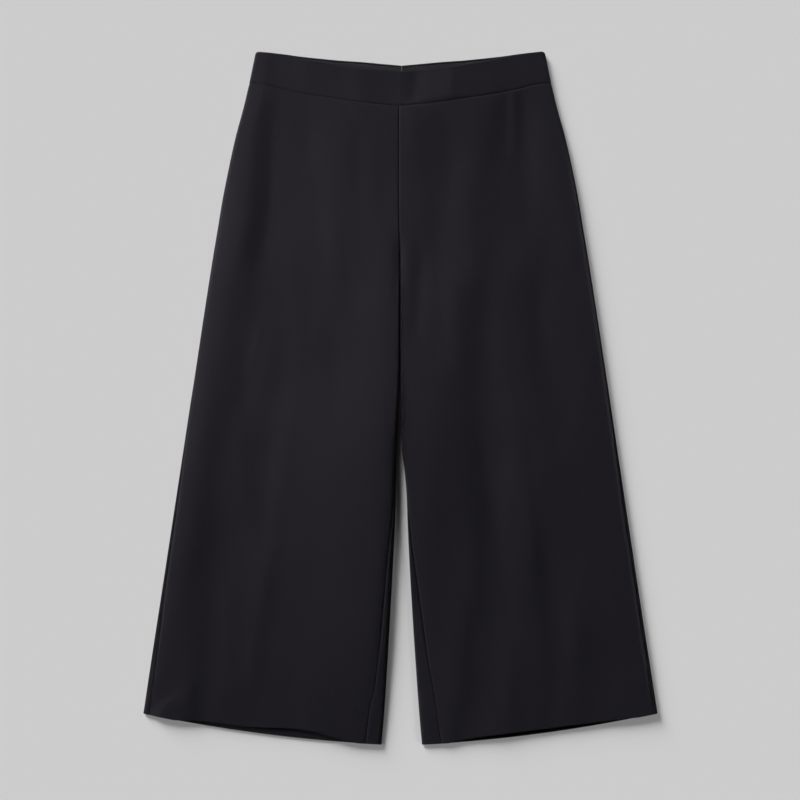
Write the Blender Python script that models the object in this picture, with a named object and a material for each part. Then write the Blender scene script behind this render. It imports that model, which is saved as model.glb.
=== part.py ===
"""Wide-legged culottes laid flat on their back, the waist towards +Y and the underside on z = 0.

Right and left are the wearer's, so the right leg lies at -X. Every panel is a wall of cloth of its own,
a seam gap away from its neighbours. Its outer points lie on one shared surface, a leg's tube pressed
flat, and its inner points are the same points moved in by the thickness of the cloth. A place on that
tube is given by how far along the cloth it is from the fold at the outer edge, over the top or under
the bottom, and by its share of the way from the lower edge of the pieces to their upper edge.
Sizes are in millimetres up to the meshes, which are in metres. A level is a Y coordinate.
"""

import bmesh
import bpy
import numpy as np

METRE = 0.001
RIGHT, LEFT = -1, 1
SIDES = {"right": RIGHT, "left": LEFT}


def table(names, *rows):
    """Named columns from rows of numbers. The first column is the one that the others follow."""
    return dict(zip(names.split(), np.array(rows, float).T))


# Cloth and seams
PANEL_CLOTH = 1.5
HEM_CLOTH = 2.3
FRONT_BAND_CLOTH = 2.2
BACK_BAND_CLOTH = 1.2
FACING_CLOTH = 1.0
SEAM_GAP = 0.3
HEM_TURN = 42.0
HEM_STEP = 1.5

# The tube of a leg, pressed flat
OVER_ROLL = 5.0
UNDER_ROLL = 3.6
ROLL_LEVEL = 2.8
EDGE_HEIGHT = 6.4
EDGE_FLAT = 6.0
EDGE_RUN = 50.0

# The upper layer lies on the lower one: its height is what lies under it and its own cloth
LYING_GAP = 0.5
LEG_HEIGHT = 2 * PANEL_CLOTH + LYING_GAP
HEM_HEIGHT = 2 * HEM_CLOTH + LYING_GAP
BAND_HEIGHT = BACK_BAND_CLOTH + SEAM_GAP + FACING_CLOTH + LYING_GAP + FRONT_BAND_CLOTH
STEP_CLEAR, STEP_RUN = 4.0, 14.0
HEM_LOFT = 1.6
HEM_LOFT_RUN = 60.0
ZIP_RISE, ZIP_HALF, ZIP_RUN = 1.1, 13.5, 9.0
SLIDER_RISE, SLIDER_HALF, SLIDER_RUN, SLIDER_REACH = 1.5, 3.0, 12.0, 9.0
CROTCH = 165.0
CROTCH_OPENING = 30.0
INSEAM_START = 25.0
VALLEY_RUN = 100.0
CORNER = 4.0

OUTLINE = table(
    "level half_width",
    (442, 184.4),
    (401, 193.0),
    (374, 199.2),
    (330, 211.0),
    (291, 219.5),
    (253, 227.0),
    (215, 233.2),
    (176, 239.7),
    (-113, 283.7),
    (-403, 327.9),
)
CENTRE = table(
    "level front back",
    (442, -1.8, 1.7),
    (250, -1.8, 1.7),
    (CROTCH, -0.4, -0.4),
)
INNER_EDGE = table(
    "level right left",
    (CROTCH, -0.55, -0.25),
    (20, -0.55, -0.25),
    (-60, -0.6, 1.6),
    (-100, -1.6, 4.6),
    (-150, -4.6, 8.3),
    (-200, -8.0, 10.9),
    (-260, -11.6, 14.5),
    (-330, -15.6, 19.2),
    (-400, -20.3, 24.3),
    (-442, -24.2, 27.9),
)
SIDE_SEAM = table(
    "level right left",
    (442, 5.0, 5.0),
    (250, 4.6, 5.6),
    (0, 5.2, 6.0),
    (-150, 6.2, 6.4),
    (-403, 7.4, 7.2),
)
INSEAM = table(
    "level right left",
    (-60, 0.8, 0.8),
    (-110, 2.4, 1.6),
    (-181, 6.8, 5.6),
    (-268, 12.4, 10.6),
    (-326, 15.7, 15.0),
    (-390, 19.3, 20.0),
    (-442, 21.0, 22.7),
)
HEM_CORNER = {RIGHT: (-402.6, -441.8), LEFT: (-400.3, -441.1)}
HEM_BOW = 6.0
HEM_LIFT = {RIGHT: 7.5, LEFT: 4.5}
HEM_LIFT_START, HEM_LIFT_END = 0.28, 0.87
WAIST_SEAM = table(
    "share front back",
    (0.0, 399.7, 399.7),
    (0.036, 401.3, 399.5),
    (0.093, 400.2, 399.0),
    (0.216, 394.6, 397.0),
    (0.381, 388.0, 394.1),
    (0.541, 383.4, 391.2),
    (0.758, 377.1, 387.3),
    (1.0, 372.2, 383.1),
)
WAIST_TOP = table(
    "share front back",
    (0.0, 441.9, 441.9),
    (0.170, 438.6, 439.2),
    (0.306, 433.6, 435.8),
    (0.447, 429.2, 433.0),
    (0.582, 424.6, 430.6),
    (0.723, 420.5, 428.8),
    (0.864, 418.1, 426.4),
    (1.0, 416.4, 424.1),
)

# The largest folds of the upper layer, which stand up from the lower one
FOLDS = table(
    "side top bottom x_top x_mid x_bottom height spread",
    (RIGHT, 330, -320, -190, -236, -286, 1.9, 22),
    (RIGHT, 90, -420, -130, -160, -198, 1.4, 16),
    (LEFT, 290, -420, 76, 73, 68, 2.0, 24),
    (LEFT, 140, -420, 126, 151, 190, 1.4, 16),
    (LEFT, 400, 235, 108, 84, 58, 1.3, 16),
    (LEFT, 460, 330, 76, 74, 72, 1.1, 26),
)
FOLD_FADE = 0.2

# The rolled top edge of the back band, and the concealed zip in the centre-back seam
LIP = 2.0
LIP_CLOTH = BACK_BAND_CLOTH + SEAM_GAP + FACING_CLOTH
PULL_POCKET = table(
    "level half_gap",
    (442, 0.15),
    (415.0, 0.15),
    (412.5, 1.9),
    (389.5, 1.9),
    (387.0, 0.15),
    (150, 0.15),
)
FACING_EDGE = table(
    "level inset",
    (442, 0.15),
    (416.4, 0.15),
    (413.8, 4.6),
    (380, 4.6),
)
TAPE_WIDTH, TAPE_BOTTOM, TAPE_TOP = 24.0, 236.0, 380.0
COIL_WIDTH, COIL_TOP = 5.2, 408.2
TAPE_CLOTH = 0.8
TAPE_LEVEL = PANEL_CLOTH + SEAM_GAP
PULL_WIDTH = 3.0
PULL_BOTTOM, PULL_TOP = 390.2, 411.8
PULL_LOWEST, PULL_HIGHEST = 0.2, 1.2
SLIDER_BOTTOM, SLIDER_LOWEST, SLIDER_HIGHEST = 403.5, 2.9, 3.9
POST_BOTTOM = 408.8

# Where the rows and columns of points lie: rows as mm up the inside leg or below the waist
LEG_ROWS = [0, 14, 28, HEM_TURN, HEM_TURN + HEM_STEP, 76, 112, 150, 190, 230, 270, 310, 350, 390, 430]
LEG_ROWS += [470, 510, 548, 580, 600, 607, 613, 619, 626, 637, 655, 682, 712, 742, 770, 795, 813]
LEVEL_ROWS = 0.76
LIP_ROW = 0.951
BAND_ROWS = [0.0, 0.09, 0.155, 0.4, 0.56, 0.715, 0.78, 0.87, LIP_ROW - 0.002, LIP_ROW, 1.0]
FACING_ROWS = [0.0, 0.27, 0.54, 0.79, 0.86, 1.0]
NEAR_SEAM = np.array([0.0, 1.6, 3.4, 5.8, 10.0])
NEAR_FOLD = np.array([0.0, 0.9, 1.8, 2.8, 4.0, 5.2, 8.0])
NEAR_ZIP = np.array([0.0, 4.6, 10.0])
ACROSS = 12
BAND_ACROSS = 8
STEP = 0.02

CLOTH = {"colour": (0.0143, 0.0131, 0.0160), "roughness": 0.86, "metallic": 0.0}
FACING = {"colour": (0.0185, 0.0172, 0.0200), "roughness": 0.78, "metallic": 0.0}
TAPE = {"colour": (0.0105, 0.0100, 0.0115), "roughness": 0.70, "metallic": 0.0}
PULL = {"colour": (0.0160, 0.0160, 0.0170), "roughness": 0.35, "metallic": 0.6}


def along(columns, name, at):
    """A smooth curve through a table's column that never overshoots the rows."""
    key = next(iter(columns))
    order = np.argsort(columns[key])
    xs, ys = columns[key][order], columns[name][order]
    step = np.diff(xs)
    rise = np.diff(ys) / step
    slope = np.concatenate([rise[:1], np.zeros(len(rise) - 1), rise[-1:]])
    same_way = rise[:-1] * rise[1:] > 0
    mean = 2 * rise[:-1] * rise[1:] / np.where(same_way, rise[:-1] + rise[1:], 1.0)
    slope[1:-1] = np.where(same_way, mean, 0.0)
    at = np.clip(at, xs[0], xs[-1])
    i = np.clip(np.searchsorted(xs, at) - 1, 0, len(step) - 1)
    t = (at - xs[i]) / step[i]
    start = ys[i] * (1 + 2 * t) * (1 - t) ** 2 + slope[i] * step[i] * t * (1 - t) ** 2
    end = ys[i + 1] * (3 - 2 * t) * t**2 - slope[i + 1] * step[i] * t**2 * (1 - t)
    return start + end


def ease(share):
    """From 0 to 1 without a corner."""
    share = np.clip(share, 0.0, 1.0)
    return share * share * (3 - 2 * share)


def side_name(side):
    return "right" if side == RIGHT else "left"


def half_width(level):
    """Distance from the middle to the outer edge, with the rounded top corner."""
    past = np.clip((level - (442.0 - CORNER)) / CORNER, 0.0, 1.0)
    return along(OUTLINE, "half_width", level) - CORNER * (1 - np.sqrt(1 - past**2))


def inner_x(side, over, level):
    """Where a layer ends at the middle: a centre seam above the crotch, the fold of the leg below it."""
    seam = np.where(over, along(CENTRE, "front", level), along(CENTRE, "back", level))
    gap = np.where(over, SEAM_GAP / 2, along(PULL_POCKET, "half_gap", level))
    return np.where(level > CROTCH, seam + side * gap, along(INNER_EDGE, side_name(side), level))


def hem_level(side, share, over):
    """The lower edge, from the outer corner at share 0 to the inner corner at 1."""
    outer, inner = HEM_CORNER[side]
    line = outer + (inner - outer) * share - 4 * HEM_BOW * share * (1 - share)
    span = np.clip((share - HEM_LIFT_START) / (HEM_LIFT_END - HEM_LIFT_START), 0.0, 1.0)
    return line + np.where(over, HEM_LIFT[side] * np.sin(np.pi * span) ** 2, 0.0)


def waist_seam(share, over):
    return np.where(over, along(WAIST_SEAM, "front", share), along(WAIST_SEAM, "back", share))


def waist_top(share, over):
    return np.where(over, along(WAIST_TOP, "front", share), along(WAIST_TOP, "back", share))


def leg_level(side, share, share_up, over):
    """Level in a leg's panels. Rows of the two layers lie level with each other up to the crotch."""
    low, high = hem_level(side, share, over), waist_seam(share, over) - SEAM_GAP / 2
    shared = waist_seam(share, True) - SEAM_GAP / 2
    level = low + (shared - low) * share_up
    return level + (high - shared) * ease((share_up - LEVEL_ROWS) / (1 - LEVEL_ROWS))


def band_level(side, share, share_up, over):
    """Level in the waistband, from the waist seam to the top edge."""
    low = waist_seam(share, over) + SEAM_GAP / 2
    return low + (waist_top(share, over) - low) * share_up


def facing_level(side, share, share_up, over):
    """Level in the facing, which ends below the band's rolled edge."""
    low = waist_seam(share, over) + SEAM_GAP / 2
    return low + (waist_top(share, over) - LIP - SEAM_GAP - low) * share_up


def closed(level):
    """How far the leg is a closed tube: 1 below the crotch, 0 where only the centre seams hold it."""
    return 1 - ease((level - CROTCH) / CROTCH_OPENING)


def sewn(level):
    """How far the inseam has come out of the crotch: 0 at the crotch and above, 1 a little below it."""
    return ease((CROTCH - level) / INSEAM_START)


def fold_relief(side, x, level):
    """Height that the folds add to the upper layer."""
    total = np.zeros_like(x)
    for i in np.flatnonzero(FOLDS["side"] == side):
        row = {name: column[i] for name, column in FOLDS.items()}
        t = (row["top"] - level) / (row["top"] - row["bottom"])
        first, last = (1 - t) * (1 - 2 * t), t * (2 * t - 1)
        middle = row["x_top"] * first + row["x_mid"] * 4 * t * (1 - t) + row["x_bottom"] * last
        fade = ease(t / FOLD_FADE) * ease((1 - t) / FOLD_FADE)
        total += row["height"] * fade * np.exp(-(((x - middle) / row["spread"]) ** 2))
    return total


def bump(distance, half, run):
    """1 within half of the middle, falling to 0 over run."""
    return 1 - ease((np.abs(distance) - half) / run)


def lying_height(side, share, x, level):
    """Height of the upper layer where it lies on the lower one."""
    hem = bump(level - hem_level(side, share, True), HEM_TURN + STEP_CLEAR, STEP_RUN)
    band = 1 - ease((waist_seam(share, True) - level - STEP_CLEAR) / STEP_RUN)
    height = LEG_HEIGHT + (HEM_HEIGHT - LEG_HEIGHT) * hem + (BAND_HEIGHT - LEG_HEIGHT) * band
    from_zip = x - CENTRE["back"][0]
    along_tape = bump(level - (TAPE_TOP + TAPE_BOTTOM) / 2, (TAPE_TOP - TAPE_BOTTOM) / 2 + 3, STEP_RUN)
    height += ZIP_RISE * (1 - band) * along_tape * bump(from_zip, ZIP_HALF, ZIP_RUN)
    along_slider = bump(level - (SLIDER_BOTTOM + PULL_TOP) / 2, SLIDER_REACH, STEP_RUN)
    return height + SLIDER_RISE * along_slider * bump(from_zip, SLIDER_HALF, SLIDER_RUN)


def upper_height(side, share, x, level, from_outer, from_inner):
    """Height of the upper layer, before it rolls over at the edges."""
    lying = lying_height(side, share, x, level)
    folded = 1 - ease((level - CROTCH) / VALLEY_RUN)
    outer = 1 - ease((from_outer - EDGE_FLAT) / EDGE_RUN)
    inner = folded * (1 - ease((from_inner - EDGE_FLAT) / EDGE_RUN))
    loft = HEM_LOFT * np.exp(-np.maximum(level - hem_level(side, share, True), 0.0) / HEM_LOFT_RUN)
    between = (1 - outer) * (1 - inner)
    height = EDGE_HEIGHT + (lying - EDGE_HEIGHT) * between + loft * between
    return height + fold_relief(side, x, level)


def roll_length(radius):
    """Length of cloth in a quarter turn of a fold."""
    return np.pi / 2 * (radius + ROLL_LEVEL) / 2


def from_fold(distance, radius, tightness):
    """Plan distance from a fold, and how far the cloth has risen, at a distance along the cloth."""
    arc = roll_length(radius)
    turn = np.clip(distance / arc, 0.0, 1.0) * np.pi / 2
    rolled = radius * (1 - np.cos(turn))
    flat = np.clip(distance, 0.0, arc) * radius / arc
    plan = tightness * rolled + (1 - tightness) * flat + np.maximum(distance - arc, 0.0)
    return plan, np.sin(turn)


def run_length(side, share_up, over, level_at):
    """Length of cloth across a layer, from fold to fold."""
    level = level_at(side, 0.5, share_up, over)
    radius = np.where(over, OVER_ROLL, UNDER_ROLL)
    width = np.abs(inner_x(side, over, level) - side * half_width(level))
    return width + 2 * (roll_length(radius) - radius), width


def surface(side, place, share_up, level_at):
    """Points of the outer surface. place is mm along the cloth from the outer fold, below 0 underneath."""
    under_run, _ = run_length(side, share_up, False, level_at)
    past = -place - under_run
    over = (place >= 0) | (past > 0)
    run, width = run_length(side, share_up, over, level_at)
    outer = np.where(past > 0, run - past, np.abs(place))
    inner = run - outer
    radius = np.where(over, OVER_ROLL, UNDER_ROLL)
    shut = closed(level_at(side, 1.0, share_up, over))
    plan_outer, rise_outer = from_fold(outer, radius, 1.0)
    plan_inner, rise_inner = from_fold(inner, radius, shut)
    nearer_outer = outer < inner
    from_outer = np.where(nearer_outer, plan_outer, width - plan_inner)
    rise_inner = np.where(nearer_outer, 1.0, 1 - shut * (1 - rise_inner))
    rise_outer = np.where(nearer_outer, rise_outer, 1.0)
    share = from_outer / width
    level = level_at(side, share, share_up, over)
    outer_x = side * half_width(level)
    x = outer_x + (inner_x(side, over, level) - outer_x) * share
    height = upper_height(side, share, x, level, from_outer, width - from_outer)
    rise = rise_outer * rise_inner
    z = np.where(over, ROLL_LEVEL + (height - ROLL_LEVEL) * rise, ROLL_LEVEL * (1 - rise))
    return np.stack([x, level, z], axis=-1)


def sheet(side, place, share_up, level_at):
    """Points of a grid on the outer surface, and the directions out of the cloth there."""
    points = surface(side, place, share_up, level_at)
    first, last = place.min(axis=1, keepdims=True), place.max(axis=1, keepdims=True)
    near = np.clip(place, first + 3 * STEP, last - 3 * STEP)
    across = surface(side, near + STEP, share_up, level_at) - surface(side, near - STEP, share_up, level_at)
    tilt = STEP / 400
    up = surface(side, near, share_up + tilt, level_at) - surface(side, near, share_up - tilt, level_at)
    out = np.cross(across, up) * -side
    return points, out / np.linalg.norm(out, axis=-1, keepdims=True)


def spread(start, end, count):
    """Even places between two columns of places, without the two."""
    share = np.linspace(0, 1, count + 2)[1:-1]
    return start[:, None] + (end - start)[:, None] * share


def front_places(side, rows, level_at):
    """Places of a front panel's points: from the side seam over the top to the middle."""
    level_outer = level_at(side, 0.0, rows, True)
    level_inner = level_at(side, 1.0, rows, True)
    name, half_gap = side_name(side), SEAM_GAP / 2
    run, _ = run_length(side, rows, True, level_at)
    start = along(SIDE_SEAM, name, level_outer) + half_gap
    inset = along(INSEAM, name, level_inner) * sewn(level_inner) + half_gap * closed(level_inner)
    first = start[:, None] + NEAR_SEAM
    last = (run - inset)[:, None] - np.array([12.0, 8.0, 5.4, 3.4, 1.6, 0.0])
    return np.hstack([first, spread(first[:, -1], last[:, 0], ACROSS), last])


def side_wrap(side, rows, level_at):
    """Places of a back panel's points round the outer fold, up to the side seam."""
    level_outer = level_at(side, 0.0, rows, True)
    inset = along(SIDE_SEAM, side_name(side), level_outer)[:, None] - SEAM_GAP / 2
    return np.hstack([-NEAR_FOLD[::-1] + np.zeros_like(inset), inset * np.array([0.3, 0.65, 1.0])])


def back_places(side, rows, level_at):
    """Places of a back leg's points: from the inseam under the bottom and up to the side seam."""
    level_inner = level_at(side, 1.0, rows, True)
    run, _ = run_length(side, rows, False, level_at)
    outer = side_wrap(side, rows, level_at)
    out = sewn(level_inner)[:, None]
    gap = SEAM_GAP / 2 * closed(level_inner)[:, None]
    inset = along(INSEAM, side_name(side), level_inner)[:, None] * out - gap
    wrapped = np.hstack([inset * np.array([1.0, 0.62, 0.36, 0.16]), -NEAR_FOLD + np.zeros_like(inset)])
    opened = -gap - np.linspace(0, NEAR_FOLD[-1], wrapped.shape[1])
    inner = -run[:, None] - (out * wrapped + (1 - out) * opened)
    return np.hstack([inner, spread(inner[:, -1], outer[:, 0], 4), outer])


def back_band_places(side, rows, level_at):
    """Places of a back waistband's points: from the centre back to the side seam."""
    run, _ = run_length(side, rows, False, level_at)
    outer = side_wrap(side, rows, level_at)
    inner = -run[:, None] + NEAR_ZIP
    return np.hstack([inner, spread(inner[:, -1], outer[:, 0], BAND_ACROSS), outer])


def facing_places(side, rows, level_at):
    """Places of a back facing's points: from beside the zip, or the centre back above it, to the side."""
    places = back_band_places(side, rows, level_at)[:, : len(NEAR_ZIP) + BAND_ACROSS]
    places[:, 0] += along(FACING_EDGE, "inset", level_at(side, 1.0, rows, False))
    places[:, 1] = np.maximum(places[:, 1], places[:, 0] + 1.5)
    return places


def hem_cloth(side, rows):
    """Thickness of a leg's wall row by row: doubled where the hem is turned up."""
    level = leg_level(side, 1.0, rows, True)
    above = level - level[0]
    return HEM_CLOTH + (PANEL_CLOTH - HEM_CLOTH) * ease((above - HEM_TURN) / HEM_STEP)


def material(name, finish):
    made = bpy.data.materials.new(name)
    made.use_nodes = True
    shader = made.node_tree.nodes["Principled BSDF"]
    shader.inputs["Base Color"].default_value = (*finish["colour"], 1.0)
    shader.inputs["Roughness"].default_value = finish["roughness"]
    shader.inputs["Metallic"].default_value = finish["metallic"]
    return made


def wall(name, outer, inner, made_of):
    """One closed wall between two grids of points. Edges that meet at a seam are split the same way."""
    rows, columns = outer.shape[:2]
    count = rows * columns
    index = np.arange(count).reshape(rows, columns)
    quads = np.stack([index[:-1, :-1], index[:-1, 1:], index[1:, 1:], index[1:, :-1]], axis=-1).reshape(-1, 4)
    faces = [*quads.tolist(), *(quads[:, ::-1] + count).tolist()]
    for edge in (index[0], index[-1], index[:, 0], index[:, -1]):
        for low, high in zip(edge[:-1].tolist(), edge[1:].tolist()):
            faces += [[low, high, high + count], [low, high + count, low + count]]
    points = np.vstack([outer.reshape(-1, 3), inner.reshape(-1, 3)]) * METRE
    return solid(name, points, faces, made_of)


def solid(name, points, faces, made_of):
    mesh = bpy.data.meshes.new(name)
    mesh.from_pydata(points.tolist(), [], faces)
    shape = bmesh.new()
    shape.from_mesh(mesh)
    bmesh.ops.recalc_face_normals(shape, faces=shape.faces)
    shape.to_mesh(mesh)
    shape.free()
    mesh.shade_smooth()
    mesh.set_sharp_from_angle(angle=np.radians(40))
    mesh.materials.append(made_of)
    made = bpy.data.objects.new(name, mesh)
    bpy.context.scene.collection.objects.link(made)
    return made


def leg_panels(side, cloth):
    """The front and the back panel of one leg."""
    rows = np.array(LEG_ROWS) / LEG_ROWS[-1]
    thickness = hem_cloth(side, rows)[:, None, None]
    name = side_name(side)
    for kind, places in (
        ("front", front_places(side, rows, leg_level)),
        ("back", back_places(side, rows, leg_level)),
    ):
        points, out = sheet(side, places, rows[:, None] + np.zeros_like(places), leg_level)
        wall(f"{kind}_leg_{name}", points, points - out * thickness, cloth)


def front_band(cloth):
    """The front waistband: one piece from side seam to side seam."""
    rows = np.array(BAND_ROWS)
    halves = {}
    for side in (RIGHT, LEFT):
        places = front_places(side, rows, band_level)[:, :-1]
        points, out = sheet(side, places, rows[:, None] + np.zeros_like(places), band_level)
        halves[side] = (points, out)
    outer = np.hstack([halves[RIGHT][0], halves[LEFT][0][:, ::-1]])
    out = np.hstack([halves[RIGHT][1], halves[LEFT][1][:, ::-1]])
    wall("front_waistband", outer, outer - out * FRONT_BAND_CLOTH, cloth)


def back_bands(side, cloth, facing):
    """One back waistband with its rolled top edge, and the facing that lies on it."""
    rows = np.array(BAND_ROWS)
    places = back_band_places(side, rows, band_level)
    points, out = sheet(side, places, rows[:, None] + np.zeros_like(places), band_level)
    depth = np.full(places.shape, BACK_BAND_CLOTH)
    flat = places < -NEAR_FOLD[-1] - 2.0
    depth[-2:][flat[-2:]] = LIP_CLOTH
    wall(f"back_waistband_{side_name(side)}", points, points - out * depth[..., None], cloth)

    rows = np.array(FACING_ROWS)
    places = facing_places(side, rows, facing_level)
    points, out = sheet(side, places, rows[:, None] + np.zeros_like(places), facing_level)
    near = BACK_BAND_CLOTH + SEAM_GAP
    outer, inner = points - out * near, points - out * (near + FACING_CLOTH)
    wall(f"back_facing_{side_name(side)}", outer, inner, facing)


def prism(name, outline, start, direction, made_of):
    """An outline of points, extruded."""
    outline = np.array(outline, float) + np.array(start, float)
    count = len(outline)
    points = np.vstack([outline, outline + np.array(direction, float)]) * METRE
    ends = [list(range(count)), list(range(count, 2 * count))]
    sides = [[i, (i + 1) % count, (i + 1) % count + count, i + count] for i in range(count)]
    return solid(name, points, ends + sides, made_of)


def zip_in_seam(tape, pull):
    """The concealed zip: tape and closed coil inside the centre-back seam, and its slider at the top."""
    middle = CENTRE["back"][0]
    half, coil = TAPE_WIDTH / 2, COIL_WIDTH / 2
    outline = [
        (-half, TAPE_BOTTOM, 0),
        (half, TAPE_BOTTOM, 0),
        (half, TAPE_TOP, 0),
        (coil, TAPE_TOP, 0),
        (coil, COIL_TOP, 0),
        (-coil, COIL_TOP, 0),
        (-coil, TAPE_TOP, 0),
        (-half, TAPE_TOP, 0),
    ]
    prism("back_zip", outline, (middle, 0, TAPE_LEVEL), (0, 0, TAPE_CLOTH), tape)
    profile = [
        (0, PULL_BOTTOM, PULL_LOWEST),
        (0, PULL_TOP, PULL_LOWEST),
        (0, PULL_TOP, SLIDER_HIGHEST),
        (0, SLIDER_BOTTOM, SLIDER_HIGHEST),
        (0, SLIDER_BOTTOM, SLIDER_LOWEST),
        (0, POST_BOTTOM, SLIDER_LOWEST),
        (0, POST_BOTTOM, PULL_HIGHEST),
        (0, PULL_BOTTOM, PULL_HIGHEST),
    ]
    slider = prism("zip_slider", profile, (middle - PULL_WIDTH / 2, 0, 0), (PULL_WIDTH, 0, 0), pull)
    bevel = slider.modifiers.new("rounded", "BEVEL")
    bevel.width = 0.25 * METRE
    bevel.segments = 2
    bevel.limit_method = "ANGLE"


def main():
    for old in list(bpy.data.objects):
        bpy.data.objects.remove(old)
    cloth = material("black_suiting", CLOTH)
    facing = material("band_facing", FACING)
    for side in SIDES.values():
        leg_panels(side, cloth)
        back_bands(side, cloth, facing)
    front_band(cloth)
    zip_in_seam(material("zip_tape", TAPE), material("zip_metal", PULL))


main()
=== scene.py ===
"""The culottes dressed: every cut piece as a thin shell of black suiting on its solid's form, laid on a
pale ground in soft light from the upper left.

Right and left are the wearer's, so the right leg lies at -X. A garment piece is a grid of points on one
shared surface, a leg's tube pressed flat. A place on that tube is a distance along the cloth from the fold
at the outer edge, over the top above 0 and under the bottom below 0, and a share of the way up the piece.
Sizes are in millimetres up to the meshes, which are in metres. A level is a Y coordinate.
"""

import logging
import math
from dataclasses import dataclass
from enum import Enum
from typing import Callable, Generic, TypeVar

import bpy
import numpy as np
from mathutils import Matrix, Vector


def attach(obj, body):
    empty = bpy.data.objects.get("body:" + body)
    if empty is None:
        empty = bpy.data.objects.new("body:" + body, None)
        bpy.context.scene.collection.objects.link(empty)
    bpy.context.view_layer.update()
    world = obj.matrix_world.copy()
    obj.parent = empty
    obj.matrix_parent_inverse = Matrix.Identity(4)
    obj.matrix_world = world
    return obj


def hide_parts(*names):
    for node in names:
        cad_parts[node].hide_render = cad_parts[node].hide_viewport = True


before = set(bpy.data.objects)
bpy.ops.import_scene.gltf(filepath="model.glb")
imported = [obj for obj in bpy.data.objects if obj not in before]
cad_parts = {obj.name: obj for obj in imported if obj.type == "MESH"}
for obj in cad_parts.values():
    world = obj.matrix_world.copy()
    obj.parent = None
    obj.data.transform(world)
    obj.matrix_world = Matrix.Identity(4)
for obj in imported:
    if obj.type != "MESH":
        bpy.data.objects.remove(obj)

LOG = logging.getLogger("culottes")
METRE = 0.001

Array = np.ndarray
T = TypeVar("T")


class Side(Enum):
    """A leg, by the sign of its X."""

    RIGHT = -1
    LEFT = 1

    @property
    def word(self) -> str:
        """The side as it stands in the names of nodes."""
        return self.name.lower()


@dataclass(frozen=True)
class Pair(Generic[T]):
    """The same thing for both legs."""

    right: T
    left: T

    def __getitem__(self, side: Side) -> T:
        """What belongs to one leg."""
        return self.right if side is Side.RIGHT else self.left


class FoldShape(Enum):
    """How a fold's height falls away from its line."""

    SOFT = "soft"
    PRESSED = "pressed"


class Edge(Enum):
    """How a piece of cloth ends."""

    SEAM = "seam"
    FOLDED = "folded"


def ease(share: Array) -> Array:
    """From 0 to 1 without a corner, for shares that are clipped to 0..1."""
    share = np.clip(share, 0.0, 1.0)
    return share * share * (3 - 2 * share)


def bump(distance: Array, half: float, run: float) -> Array:
    """1 within half of the middle, falling to 0 over run."""
    return 1 - ease((np.abs(distance) - half) / run)


@dataclass(frozen=True)
class Curve:
    """A smooth curve through rows of (key, value) that never overshoots them."""

    rows: tuple[tuple[float, float], ...]

    def __call__(self, at: Array) -> Array:
        """Value at each key.

        Args:
            at: keys, clipped to the first and the last row.

        Returns:
            The values.
        """
        rows = np.array(sorted(self.rows), float)
        xs, ys = rows[:, 0], rows[:, 1]
        step = np.diff(xs)
        rise = np.diff(ys) / step
        slope = np.concatenate([rise[:1], np.zeros(len(rise) - 1), rise[-1:]])
        same_way = rise[:-1] * rise[1:] > 0
        mean = 2 * rise[:-1] * rise[1:] / np.where(same_way, rise[:-1] + rise[1:], 1.0)
        slope[1:-1] = np.where(same_way, mean, 0.0)
        at = np.clip(at, xs[0], xs[-1])
        i = np.clip(np.searchsorted(xs, at) - 1, 0, len(step) - 1)
        t = (at - xs[i]) / step[i]
        start = ys[i] * (1 + 2 * t) * (1 - t) ** 2 + slope[i] * step[i] * t * (1 - t) ** 2
        end = ys[i + 1] * (3 - 2 * t) * t**2 - slope[i + 1] * step[i] * t**2 * (1 - t)
        return start + end


@dataclass(frozen=True)
class ClothSizes:
    """Thickness of the cloth and of what is sewn from it."""

    panel: float = 0.75
    hem: float = 1.9
    front_band: float = 1.2
    back_band: float = 1.0
    facing: float = 0.7
    lip: float = 2.4
    solid_back_band: float = 1.2
    solid_facing: float = 1.0
    seam_gap: float = 0.3
    shut_gap: float = 0.06
    hem_turn: float = 42.0


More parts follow.
